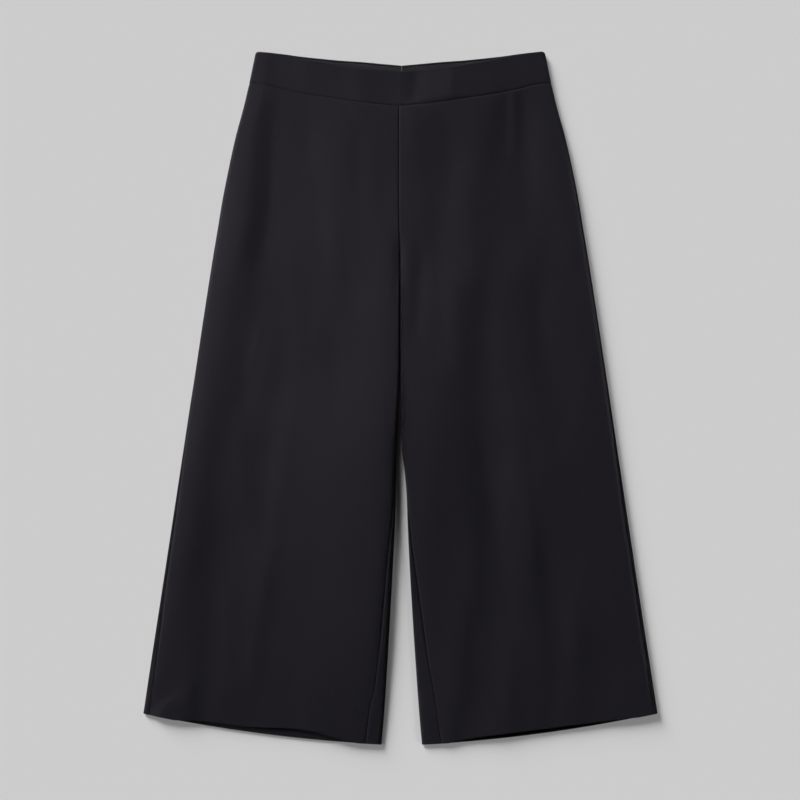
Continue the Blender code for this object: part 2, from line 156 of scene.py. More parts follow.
@dataclass(frozen=True)
class Pattern:
    """The outline of the laid garment and where its seams run. The curves are by level, but for those of the
    waist and the hem's lift, which are by share of the way from the outer edge to the inner one. A hem has
    its level at the outer corner and at the inner one."""

    top: float = 442.0
    corner: float = 4.0
    crotch: float = 165.0
    half_width: Curve = Curve((
        (442, 184.4), (401, 193.0), (374, 199.2), (330, 211.0), (291, 219.5),
        (253, 227.0), (215, 233.2), (176, 239.7), (-113, 283.7), (-403, 327.9),
    ))
    wider_left: Curve = Curve((
        (442, -0.1), (390, -0.2), (340, 0.0), (26, 0.2), (-255, -0.3), (-442, 0.2),
    ))
    centre_front: Curve = Curve(((442, -1.8), (250, -1.8), (165, -0.4)))
    centre_back: Curve = Curve(((442, 1.7), (250, 1.7), (165, -0.4)))
    inner: Pair[Curve] = Pair(
        right=Curve((
            (165, -0.42), (60, -0.32), (28, -0.7), (-2, -1.8), (-33, -3.1), (-64, -4.4), (-94, -5.4),
            (-125, -5.8), (-155, -6.6), (-200, -8.8), (-260, -12.0), (-330, -16.0), (-400, -20.5),
            (-442, -24.2),
        )),
        left=Curve((
            (165, -0.38), (60, -0.28), (28, -0.1), (-2, 0.2), (-33, 0.5), (-52, 0.9), (-64, 1.5), (-79, 3.1),
            (-94, 5.3), (-125, 8.0), (-155, 9.0), (-200, 11.1), (-260, 14.4), (-330, 18.9), (-400, 23.9),
            (-442, 27.6),
        )),
    )
    side_seam: Pair[Curve] = Pair(
        right=Curve((
            (442, 0.5), (30, 0.5), (-20, 2.2), (-86, 3.8), (-143, 4.6), (-255, 5.3), (-311, 6.0), (-367, 8.2),
            (-403, 8.6),
        )),
        left=Curve((
            (442, 0.5), (330, 0.5), (280, 2.7), (82, 2.8), (26, 3.0), (-30, 3.4), (-86, 4.0), (-143, 4.9),
            (-311, 4.9), (-367, 5.7), (-403, 6.1),
        )),
    )
    inseam: Pair[Curve] = Pair(
        right=Curve((
            (-60, 0.8), (-110, 3.6), (-150, 6.6), (-181, 8.3), (-206, 9.4), (-232, 10.3), (-255, 10.9),
            (-283, 11.9), (-311, 12.7), (-339, 14.2), (-367, 15.6), (-398, 20.2), (-442, 21.6),
        )),
        left=Curve((
            (-60, 0.8), (-110, 1.6), (-181, 5.8), (-268, 12.4), (-326, 16.8), (-390, 23.2), (-442, 26.0),
        )),
    )
    hem: Pair[tuple[float, float]] = Pair(right=(-402.2, -441.4), left=(-401.6, -441.8))
    hem_bow: float = 6.0
    hem_lift: Pair[Curve] = Pair(
        right=Curve((
            (0.13, 0.0), (0.2, 2.6), (0.29, 5.0), (0.4, 5.8), (0.51, 7.9), (0.62, 11.0), (0.7, 10.6),
            (0.78, 6.3), (0.86, 1.4), (0.9, 0.0),
        )),
        left=Curve((
            (0.08, 0.0), (0.14, 1.5), (0.2, 2.6), (0.27, 3.4), (0.38, 4.5), (0.49, 5.1), (0.6, 5.2),
            (0.71, 4.7), (0.78, 3.5), (0.84, 2.2), (0.89, 0.0),
        )),
    )
    waist_seam_front: Curve = Curve((
        (0.0, 399.7), (0.036, 401.3), (0.093, 400.2), (0.216, 394.6),
        (0.381, 388.0), (0.541, 383.4), (0.758, 377.1), (1.0, 372.2),
    ))
    waist_seam_back: Curve = Curve((
        (0.0, 399.7), (0.036, 399.5), (0.093, 399.0), (0.216, 397.0),
        (0.381, 394.1), (0.541, 391.2), (0.758, 387.3), (1.0, 383.1),
    ))
    waist_top_front: Curve = Curve((
        (0.0, 441.9), (0.170, 438.6), (0.306, 433.6), (0.447, 429.2),
        (0.582, 424.6), (0.723, 420.5), (0.864, 418.1), (1.0, 416.4),
    ))
    waist_top_back: Curve = Curve((
        (0.0, 441.9), (0.170, 439.2), (0.306, 435.8), (0.447, 433.0),
        (0.582, 430.6), (0.723, 428.8), (0.864, 426.4), (1.0, 424.1),
    ))
    centre_back_gap: Curve = Curve((
        (442, 0.15), (415.0, 0.15), (412.5, 1.9), (389.5, 1.9), (387.0, 0.03), (150, 0.03),
    ))
    facing_edge: Curve = Curve(((442, 0.15), (416.4, 0.15), (413.8, 4.6), (380, 4.6)))
    lip: float = 2.0
    level_rows: float = 0.76


@dataclass(frozen=True)
class FoldedEdge:
    """A folded edge of a leg, by level: the width of its turn above, the height of its outermost point and
    of the cloth beside it, and how far that cloth runs on before it slopes down on to the lower layer. The
    cloth swells from the turn to its full height."""

    turn: Curve
    middle: Curve
    height: Curve
    shoulder: Curve
    slope: Curve
    swell: Curve
    swell_run: float

    def full_height(self, distance: Array, level: Array) -> Array:
        """Height of the cloth beside the edge, less what it still has to swell by."""
        to_swell = np.clip(1 - distance / self.swell_run, 0.0, 1.0) ** 2
        return self.height(level) - self.swell(level) * to_swell


OUTER_RIGHT = FoldedEdge(
    turn=Curve((
        (442, 3.5), (363, 5.0), (250, 6.0), (26, 6.0), (-86, 5.5), (-200, 7.0), (-330, 6.4), (-367, 4.5),
        (-403, 4.0), (-442, 4.0),
    )),
    middle=Curve((
        (442, 3.8), (363, 4.0), (307, 3.2), (250, 3.4), (194, 4.0), (138, 4.3), (82, 3.5), (26, 2.8),
        (-255, 2.8), (-311, 3.3), (-350, 3.3), (-403, 1.7), (-442, 1.7),
    )),
    height=Curve((
        (442, 5.9), (398, 6.6), (363, 7.4), (307, 7.8), (250, 8.7), (194, 9.9), (138, 9.1), (82, 7.0),
        (26, 6.4), (-30, 6.4), (-86, 5.9), (-143, 5.5), (-255, 5.2), (-311, 4.9), (-350, 5.0), (-385, 4.2),
        (-403, 3.4), (-442, 3.4),
    )),
    shoulder=Curve((
        (442, 12.0), (363, 18.0), (307, 23.0), (250, 26.0), (194, 30.0), (138, 23.0), (82, 24.0), (26, 22.0),
        (-30, 22.0), (-86, 26.0), (-255, 22.0), (-311, 22.0), (-350, 26.0), (-403, 7.0), (-442, 7.0),
    )),
    slope=Curve((
        (442, 26.0), (363, 26.0), (307, 35.0), (250, 40.0), (194, 36.0), (138, 64.0), (26, 56.0),
        (-30, 44.0), (-86, 36.0), (-255, 50.0), (-311, 70.0), (-350, 60.0), (-403, 16.0), (-442, 16.0),
    )),
    swell=Curve((
        (442, 0.9), (307, 1.2), (250, 2.2), (-60, 2.3), (-110, 1.9), (-350, 1.5), (-403, 0.4), (-442, 0.4),
    )),
    swell_run=23.0,
)

OUTER_LEFT = FoldedEdge(
    turn=Curve(((442, 1.6), (360, 2.0), (26, 2.0), (-60, 2.6), (-442, 2.6))),
    middle=Curve(((442, 3.2), (360, 3.2), (-442, 3.4))),
    height=Curve(((442, 5.6), (398, 5.5), (340, 5.7), (-330, 6.0), (-442, 5.6))),
    shoulder=Curve(((442, 6.0), (-442, 10.0))),
    slope=Curve(((442, 60.0), (-442, 85.0))),
    swell=Curve(((442, 0.0), (330, 0.0), (280, -1.1), (-330, -1.1), (-370, -0.4), (-442, 0.0))),
    swell_run=9.5,
)

INNER_RIGHT = FoldedEdge(
    turn=Curve((
        (165, 2.5), (60, 3.6), (0, 4.6), (-40, 6.2), (-86, 7.0), (-150, 7.0), (-181, 6.5), (-255, 5.4),
        (-311, 4.6), (-367, 3.6), (-442, 3.0),
    )),
    middle=Curve((
        (165, 2.8), (60, 3.6), (0, 5.0), (-60, 6.4), (-200, 6.6), (-311, 5.9), (-367, 4.7), (-410, 4.1),
        (-442, 3.2),
    )),
    height=Curve((
        (165, 5.6), (60, 6.8), (0, 9.4), (-50, 12.0), (-100, 12.2), (-150, 11.4), (-200, 11.1), (-260, 10.4),
        (-311, 9.5), (-367, 7.6), (-410, 6.2), (-442, 4.6),
    )),
    shoulder=Curve(((165, 6.0), (-442, 12.0))),
    slope=Curve(((165, 60.0), (60, 100.0), (-30, 180.0), (-442, 180.0))),
    swell=Curve(((165, 0.0), (0, 0.7), (-40, 1.5), (-255, 1.5), (-311, 1.3), (-367, 0.8), (-442, 0.3))),
    swell_run=24.0,
)

INNER_LEFT = FoldedEdge(
    turn=Curve(((165, 2.0), (-442, 1.8))),
    middle=Curve((
        (165, 2.8), (30, 3.8), (-20, 5.2), (-86, 6.2), (-130, 5.6), (-181, 4.2), (-255, 2.6), (-311, 2.0),
        (-442, 1.6),
    )),
    height=Curve((
        (165, 4.4), (30, 5.8), (-20, 7.0), (-86, 8.2), (-130, 8.0), (-181, 6.8), (-225, 5.0), (-255, 4.3),
        (-311, 3.9), (-400, 3.7), (-442, 3.3),
    )),
    shoulder=Curve(((165, 6.0), (0, 26.0), (-255, 26.0), (-311, 14.0), (-442, 12.0))),
    slope=Curve(((165, 50.0), (-60, 80.0), (-255, 70.0), (-442, 30.0))),
    swell=Curve(((165, 0.0), (30, 0.6), (-30, 0.9), (-200, 0.9), (-400, 0.7), (-442, 0.4))),
    swell_run=26.0,
)


@dataclass(frozen=True)
class RollSizes:
    """How the cloth turns over at the folded edges of the legs, and how those edges end at the crotch."""

    outer: Pair[FoldedEdge] = Pair(right=OUTER_RIGHT, left=OUTER_LEFT)
    inner: Pair[FoldedEdge] = Pair(right=INNER_RIGHT, left=INNER_LEFT)
    under: float = 3.6
    opening: float = 30.0
    inseam_start: float = 25.0
    valley: float = 100.0
    lift_run_outer: float = 40.0
    lift_run_inner: float = 30.0


@dataclass(frozen=True)
class LyingSizes:
    """Height of the upper layer where it lies on the lower one: along a leg, at the hem by share of the way
    from the outer edge, under the band, and over the zip and its slider."""

    leg: Pair[float] = Pair(right=3.5, left=5.0)
    leg_even: float = 130.0
    leg_even_run: float = 150.0
    hem: Pair[Curve] = Pair(
        right=Curve(((0.0, 4.8), (0.3, 4.6), (0.5, 4.2), (0.82, 4.2), (1.0, 5.0))),
        left=Curve(((0.0, 4.8), (1.0, 4.8))),
    )
    band: float = 5.2
    step_clear: float = 4.0
    step_run: float = 90.0
    zip_rise: float = 0.35
    zip_half: float = 9.0
    zip_run: float = 60.0
    zip_middle: float = 308.0
    zip_reach: float = 75.0
    slider_rise: float = 0.15
    slider_half: float = 3.0
    slider_run: float = 30.0
    slider_middle: float = 407.65
    slider_reach: float = 9.0


PRESSED_TOP = 0.3  # how round the top of a pressed fold is, in its spreads


@dataclass(frozen=True)
class Fold:
    """One fold: a line of (level, x), and how high the cloth stands along it, or how deep it sinks."""

    side: Side
    line: tuple[tuple[float, float], ...]
    height: float
    spread: float
    shape: FoldShape = FoldShape.SOFT
    fade: float = 0.2

    def relief(self, x: Array, level: Array) -> Array:
        """Height that the fold adds.

        Args:
            x: X of the points.
            level: level of the points.

        Returns:
            Heights in millimetres.
        """
        levels = [row[0] for row in self.line]
        top, bottom = max(levels), min(levels)
        share = (top - level) / (top - bottom)
        fade = ease(share / self.fade) * ease((1 - share) / self.fade)
        across = (x - Curve(self.line)(level)) / self.spread
        if self.shape is FoldShape.PRESSED:
            profile = np.exp(PRESSED_TOP - np.sqrt(across**2 + PRESSED_TOP**2))
        else:
            profile = np.exp(-(across**2))
        return self.height * fade * profile


UPPER_FOLDS: tuple[Fold, ...] = (
    Fold(Side.RIGHT, ((398, -90), (340, -86), (270, -80)), 1.0, 24, fade=0.3),
    Fold(Side.RIGHT, ((90, -128), (-30, -138), (-86, -151), (-143, -158), (-199, -165.5), (-255, -175.5),
                      (-311, -185), (-367, -194), (-430, -202)), 0.7, 16, FoldShape.PRESSED),
    Fold(Side.RIGHT, ((-345, -240), (-380, -246), (-436, -250)), -0.4, 22, fade=0.3),
    Fold(Side.RIGHT, ((100, -176), (20, -196)), 0.4, 6),
    Fold(Side.RIGHT, ((375, -80), (330, -58)), 0.6, 7),
    Fold(Side.RIGHT, ((-140, -9), (-206, -17.5), (-255, -23.5), (-311, -29.5), (-367, -36.5), (-423, -44),
                      (-442, -46)), -0.15, 4.5),
    Fold(Side.LEFT, ((398, 121), (355, 112), (304, 100), (265, 92)), 0.5, 16, fade=0.2),
    Fold(Side.LEFT, ((350, 110), (304, 100), (253, 87), (215, 77)), 0.25, 16, fade=0.3),
    Fold(Side.LEFT, ((185, 74), (138, 73), (100, 72), (60, 71), (0, 67)), 1.15, 19, fade=0.3),
    Fold(Side.LEFT, ((398, 166), (355, 162), (304, 160), (253, 154), (194, 144), (150, 136)), -0.8, 20,
         fade=0.15),
    Fold(Side.LEFT, ((150, 108), (90, 108), (26, 111), (-2, 113), (-30, 115), (-155, 114), (-230, 112)), -1.2,
         20, fade=0.25),
    Fold(Side.LEFT, ((-180, 112), (-257, 112), (-311, 111), (-367, 110), (-425, 110)), -0.9, 24, fade=0.2),
    Fold(Side.LEFT, ((20, 141), (-28, 149), (-86, 158), (-143, 162), (-206, 168), (-308, 179), (-430, 190)),
         0.85, 15, FoldShape.PRESSED),
    Fold(Side.LEFT, ((400, 145), (355, 145), (310, 146)), 1.0, 8, fade=0.1),
    Fold(Side.LEFT, ((215, 24), (180, 26), (138, 24), (82, 20), (50, 20)), -0.95, 10, fade=0.3),
    Fold(Side.LEFT, ((450, 74), (412, 70), (376, 62)), 1.3, 19, fade=0.15),
    Fold(Side.LEFT, ((430, 25), (404, 21), (372, 17)), -1.3, 12, fade=0.3),
    *(Fold(side, ((222, -1.5), (180, -2), (130, -1)), -1.2, 6, fade=0.4) for side in Side),
)

LOWER_FOLDS: tuple[Fold, ...] = (
    Fold(Side.RIGHT, ((330, -196), (100, -226), (-200, -272)), 0.9, 12),
    Fold(Side.RIGHT, ((120, -122), (-150, -158), (-430, -199)), 0.5, 7, FoldShape.PRESSED),
    Fold(Side.LEFT, ((300, 92), (100, 58), (-240, 50)), 0.7, 14),
    Fold(Side.LEFT, ((120, 128), (-150, 165), (-430, 189)), 0.5, 7, FoldShape.PRESSED),
    Fold(Side.RIGHT, ((-160, -40), (-380, -62)), 0.6, 13),
)


def folds_relief(folds: tuple[Fold, ...], side: Side, base: Array, x: Array, level: Array) -> Array:
    """A surface with its folds.

    Args:
        folds: the folds of both legs.
        side: the leg.
        base: heights without them.
        x: X of the points.
        level: level of the points.

    Returns:
        Heights with them.
    """
    for fold in folds:
        if fold.side is side:
            base = base + fold.relief(x, level)
    return base


LevelAt = Callable[[Side, Array, Array, Array], Array]


class PressedTube:
    """The shared surface that every piece of the garment lies on."""

    def __init__(self, pattern: Pattern, roll: RollSizes, lying: LyingSizes, cloth: ClothSizes) -> None:
        """Keeps the sizes.

        Args:
            pattern: outline and seams.
            roll: the folded edges.
            lying: how the upper layer lies on the lower one.
            cloth: thicknesses.
        """
        self.pattern = pattern
        self.roll = roll
        self.lying = lying
        self.cloth = cloth

    def half_width(self, side: Side, level: Array) -> Array:
        """Distance from the middle to the outer edge.

        Args:
            side: the leg.
            level: level of the points.

        Returns:
            Distances, with the rounded top corner.
        """
        corner = self.pattern.corner
        past = np.clip((level - (self.pattern.top - corner)) / corner, 0.0, 1.0)
        wider = self.pattern.wider_left(level) if side is Side.LEFT else 0.0
        return self.pattern.half_width(level) + wider - corner * (1 - np.sqrt(1 - past**2))

    def inner_x(self, side: Side, over: Array, level: Array) -> Array:
        """Where a layer ends at the middle.

        Args:
            side: the leg.
            over: whether each point is in the upper layer.
            level: level of the points.

        Returns:
            X of the centre seam above the crotch, and of the leg's fold below it.
        """
        p = self.pattern
        seam = np.where(over, p.centre_front(level), p.centre_back(level))
        gap = np.where(over, self.cloth.seam_gap / 2, p.centre_back_gap(level))
        return np.where(level > p.crotch, seam + side.value * gap, p.inner[side](level))

    def hem_level(self, side: Side, share: Array, over: Array) -> Array:
        """The lower edge.

        Args:
            side: the leg.
            share: 0 at the outer corner, 1 at the inner one.
            over: whether each point is in the upper layer, which is lifted a little.

        Returns:
            Levels.
        """
        p = self.pattern
        outer, inner = p.hem[side]
        line = outer + (inner - outer) * share - 4 * p.hem_bow * share * (1 - share)
        return line + np.where(over, p.hem_lift[side](share), 0.0)

    def waist_seam(self, share: Array, over: Array) -> Array:
        """Level of the seam between legs and band, by share from the outer edge to the middle."""
        return np.where(over, self.pattern.waist_seam_front(share), self.pattern.waist_seam_back(share))

    def waist_top(self, share: Array, over: Array) -> Array:
        """Level of the band's top edge, by share from the outer edge to the middle."""
        return np.where(over, self.pattern.waist_top_front(share), self.pattern.waist_top_back(share))

    def waist_gap(self, over: Array) -> Array:
        """Half the width of the waist seam, shut underneath so that no ground shows through."""
        return np.where(over, self.cloth.seam_gap / 2, self.cloth.shut_gap / 2)

    def leg_level(self, side: Side, share: Array, share_up: Array, over: Array) -> Array:
        """Level in a leg's panels, from the hem to the waist seam.

        Args:
            side: the leg.
            share: 0 at the outer edge, 1 at the inner one.
            share_up: 0 at the hem, 1 at the waist seam.
            over: whether each point is in the upper layer.

        Returns:
            Levels. The rows of the two layers lie level with each other up to the crotch.
        """
        low = self.hem_level(side, share, over)
        high = self.waist_seam(share, over) - self.waist_gap(over)
        shared = self.waist_seam(share, np.array(True)) - self.waist_gap(np.array(True))
        level = low + (shared - low) * share_up
        start = self.pattern.level_rows
        return level + (high - shared) * ease((share_up - start) / (1 - start))

    def band_level(self, side: Side, share: Array, share_up: Array, over: Array) -> Array:
        """Level in the waistband, from the waist seam at share_up 0 to the top edge at 1."""
        low = self.waist_seam(share, over) + self.waist_gap(over)
        return low + (self.waist_top(share, over) - low) * share_up

    def facing_level(self, side: Side, share: Array, share_up: Array, over: Array) -> Array:
        """Level in the facing, which ends below the band's rolled edge.

        Args:
            side: the leg on that side.
            share: 0 at the outer edge, 1 at the middle.
            share_up: 0 at the seam, 1 at the facing's top.
            over: whether each point is in the upper layer.

        Returns:
            Levels.
        """
        low = self.waist_seam(share, over) + self.cloth.seam_gap / 2
        high = self.waist_top(share, over) - self.pattern.lip - self.cloth.seam_gap
        return low + (high - low) * share_up

    def closed(self, level: Array) -> Array:
        """1 below the crotch, where the leg is a closed tube, and 0 well above it."""
        return 1 - ease((level - self.pattern.crotch) / self.roll.opening)

    def sewn(self, level: Array) -> Array:
        """0 at the crotch and above, 1 a little below, where the inseam has come out of it."""
        return ease((self.pattern.crotch - level) / self.roll.inseam_start)

    def lying_height(self, side: Side, share: Array, x: Array, level: Array) -> Array:
        """Height of the upper layer where it lies on the lower one.

        Args:
            side: the leg.
            share: 0 at the outer edge, 1 at the inner one.
            x: X of the points.
            level: level of the points.

        Returns:
            Heights.
        """
        s = self.lying
        over = np.array(True)
        above_hem = level - self.hem_level(side, share, over)
        hem = bump(above_hem, self.cloth.hem_turn + s.step_clear, s.step_run)
        band = 1 - ease((self.waist_seam(share, over) - level - s.step_clear) / s.step_run)
        even = ease((level - s.leg_even) / s.leg_even_run)
        leg = s.leg[side] + (s.leg.right - s.leg[side]) * even
        height = leg + (s.hem[side](share) - leg) * hem + (s.band - leg) * band
        from_zip = x - self.pattern.centre_back(np.array(self.pattern.top))
        along_tape = bump(level - s.zip_middle, s.zip_reach, s.step_run)
        height = height + s.zip_rise * (1 - band) * along_tape * bump(from_zip, s.zip_half, s.zip_run)
        along_slider = bump(level - s.slider_middle, s.slider_reach, s.step_run)
        return height + s.slider_rise * along_slider * bump(from_zip, s.slider_half, s.slider_run)

    def upper_height(self, side: Side, share: Array, x: Array, level: Array, from_outer: Array,
                     from_inner: Array) -> Array:
        """Height of the upper layer, before it rolls over at the edges.

        Args:
            side: the leg.
            share: 0 at the outer edge, 1 at the inner one.
            x: X of the points.
            level: level of the points.
            from_outer: distance from the outer edge.
            from_inner: distance from the inner edge.

        Returns:
            Heights.
        """
        outer_edge, inner_edge = self.edges(side)
        lying = self.lying_height(side, share, x, level)
        folded = 1 - ease((level - self.pattern.crotch) / self.roll.valley)
        outer = 1 - ease((from_outer - outer_edge.shoulder(level)) / outer_edge.slope(level))
        inner = folded * (1 - ease((from_inner - inner_edge.shoulder(level)) / inner_edge.slope(level)))
        height = lying + (outer_edge.full_height(from_outer, level) - lying) * outer
        height = height + (inner_edge.full_height(from_inner, level) - lying) * inner
        between = (1 - outer) * (1 - inner)
        return folds_relief(UPPER_FOLDS, side, height, x, level) + ripple(x, level) * between

    def lower_lift(self, side: Side, x: Array, level: Array, from_outer: Array, from_inner: Array) -> Array:
        """How far the lower layer lifts off the ground in its creases.

        Args:
            side: the leg.
            x: X of the points.
            level: level of the points.
            from_outer: distance from the outer edge.
            from_inner: distance from the inner edge.

        Returns:
            Heights.
        """
        r = self.roll
        lift = folds_relief(LOWER_FOLDS, side, np.zeros_like(x), x, level)
        return lift * ease(from_outer / r.lift_run_outer) * ease(from_inner / r.lift_run_inner)

    def edges(self, side: Side) -> tuple[FoldedEdge, FoldedEdge]:
        """The outer and the inner folded edge of a leg."""
        return self.roll.outer[side], self.roll.inner[side]

    def turns(self, side: Side, over: Array, level: Array) -> tuple[tuple[Array, Array], tuple[Array, Array]]:
        """How the cloth turns at the outer and at the inner edge.

        Args:
            side: the leg.
            over: whether each point is in the upper layer.
            level: level of the points.

        Returns:
            For each edge the plan width of the turn and the length of cloth in it.
        """
        found = []
        for edge in self.edges(side):
            width = np.where(over, edge.turn(level), self.roll.under)
            rise = np.where(over, edge.height(level) - edge.middle(level), edge.middle(level))
            found.append((width, np.pi / 2 * (width + rise) / 2))
        return found[0], found[1]

    def from_fold(self, distance: Array, turn: tuple[Array, Array], tightness: Array) -> tuple[Array, Array]:
        """Where the cloth is at a distance from a fold.

        Args:
            distance: distance along the cloth.
            turn: plan width of the turn, and the length of cloth in it.
            tightness: 1 at a fold, 0 where the cloth runs on flat.

        Returns:
            Plan distance from the fold, and how far the cloth has risen, from 0 to 1.
        """
        width, arc = turn
        angle = np.clip(distance / arc, 0.0, 1.0) * np.pi / 2
        rolled = width * (1 - np.cos(angle))
        flat = np.clip(distance, 0.0, arc) * width / arc
        plan = tightness * rolled + (1 - tightness) * flat + np.maximum(distance - arc, 0.0)
        return plan, np.sin(angle)

    def run_length(self, side: Side, share_up: Array, over: Array, level_at: LevelAt) -> tuple[Array, Array]:
        """Length of cloth across a layer, from fold to fold.

        Args:
            side: the leg.
            share_up: share of the way up the piece.
            over: whether each point is in the upper layer.
            level_at: levels of the piece.

        Returns:
            Length along the cloth, and plan width.
        """
        level = level_at(side, np.array(0.5), share_up, over)
        width = np.abs(self.inner_x(side, over, level) - side.value * self.half_width(side, level))
        turned = sum(arc - turn for turn, arc in self.turns(side, over, level))
        return width + turned, width

    def surface(self, side: Side, place: Array, share_up: Array, level_at: LevelAt) -> Array:
        """Points of the outer surface.

        Args:
            side: the leg.
            place: distance along the cloth from the outer fold, below 0 underneath.
            share_up: share of the way up the piece.
            level_at: levels of the piece.

        Returns:
            Points, in millimetres.
        """
        under_run, _ = self.run_length(side, share_up, np.array(False), level_at)
        past = -place - under_run  # above 0 where the cloth comes round the inner fold to the top again
        over = (place >= 0) | (past > 0)
        run, width = self.run_length(side, share_up, over, level_at)
        outer = np.where(past > 0, run - past, np.abs(place))
        inner = run - outer
        outer_turn, inner_turn = self.turns(side, over, level_at(side, np.array(0.5), share_up, over))
        shut = self.closed(level_at(side, np.array(1.0), share_up, over))
        plan_outer, rise_outer = self.from_fold(outer, outer_turn, np.array(1.0))
        plan_inner, rise_inner = self.from_fold(inner, inner_turn, shut)
        nearer_outer = outer < inner
        from_outer = np.where(nearer_outer, plan_outer, width - plan_inner)
        rise_inner = np.where(nearer_outer, 1.0, 1 - shut * (1 - rise_inner))
        rise_outer = np.where(nearer_outer, rise_outer, 1.0)
        share = from_outer / width
        level = level_at(side, share, share_up, over)
        outer_x = side.value * self.half_width(side, level)
        x = outer_x + (self.inner_x(side, over, level) - outer_x) * share
        from_inner = width - from_outer
        height = self.upper_height(side, share, x, level, from_outer, from_inner)
        lift = self.lower_lift(side, x, level, from_outer, from_inner)
        rise = rise_outer * rise_inner
        outer_edge, inner_edge = self.edges(side)
        middle = np.where(nearer_outer, outer_edge.middle(level), inner_edge.middle(level))
        z = np.where(over, middle + (height - middle) * rise, middle * (1 - rise) + lift)
        return np.stack([x, level, z], axis=-1)


@dataclass(frozen=True)
class Ripple:
    """A run of long waves: how many to a metre across and up, their height in millimetres and their phase."""

    across: float
    up: float
    height: float
    phase: float


RIPPLES = (
    Ripple(7.1, 1.9, 0.30, 0.4),
    Ripple(-4.3, 3.1, 0.34, 2.1),
    Ripple(11.8, -2.2, 0.20, 4.4),
    Ripple(5.2, 6.4, 0.22, 1.3),
    Ripple(-13.7, 2.2, 0.16, 5.2),
    Ripple(3.4, -9.8, 0.16, 3.3),
    Ripple(17.9, 2.6, 0.12, 0.9),
    Ripple(-27.0, 3.4, 0.06, 2.6),
    Ripple(34.0, 4.7, 0.04, 1.9),
)
RIPPLE_BEND = 0.9  # how far the ripples bend, in radians
BENDS_PER_METRE = 11.0  # how quickly, in radians


def ripple(x: Array, level: Array) -> Array:
    """The slight unevenness of cloth that nothing pulls flat.

    Args:
        x: X of the points.
        level: level of the points.

    Returns:
        Heights around 0.
    """
    total = np.zeros_like(x)
    for wave in RIPPLES:
        bend = RIPPLE_BEND * np.sin(level * METRE * BENDS_PER_METRE + wave.phase)
        along = wave.across * x + wave.up * level
        total = total + wave.height * np.sin(2 * np.pi * METRE * along + wave.phase + bend)
    return total


@dataclass(frozen=True)
class Grid:
    """Points of a piece's outer surface with what is known about each."""

    points: Array
    out: Array
    place: Array

    @property
    def from_edges(self) -> dict[str, Array]:
        """Distance of each point from the four edges.

        Returns:
            Distances by the name of the edge.
        """
        level = self.points[..., 1]
        return {
            "start": self.place - self.place[:, :1],
            "end": self.place[:, -1:] - self.place,
            "bottom": level - level[:1],
            "top": level[-1:] - level,
        }


@dataclass(frozen=True)
class Edges:
    """How the four edges of a piece end."""

    start: Edge
    end: Edge
    bottom: Edge
    top: Edge


@dataclass(frozen=True)
class EdgeSizes:
    """Shape of the cloth beside its edges. A pucker's two numbers are its pace along the seam and phase."""

    seam_depth: float = 0.42
    seam_width: float = 0.9
    pull_depth: float = 0.16
    pull_width: float = 3.2
    pucker_depth: float = 0.10
    pucker_width: float = 7.0
    puckers: tuple[tuple[float, float], ...] = ((0.43, 0.0), (0.71, 1.7), (0.29, 0.6))
    nose: float = 0.92
    stiffened: Curve = Curve(((-290, 1.0), (-350, 0.45), (-442, 0.4)))


@dataclass(frozen=True)
class GridSizes:
    """How close together the points of a piece lie, and the short steps that tell where the cloth faces."""

    near: tuple[float, ...] = (0, 0.12, 0.35, 0.7, 1.15, 1.7, 2.5, 3.4, 4.4, 5.4, 6.6, 8.2, 10.4)
    across: float = 2.6
    across_under: float = 5.0
    tangent: float = 0.02
    tangent_inset: float = 0.06
    tangent_up: float = 0.00005


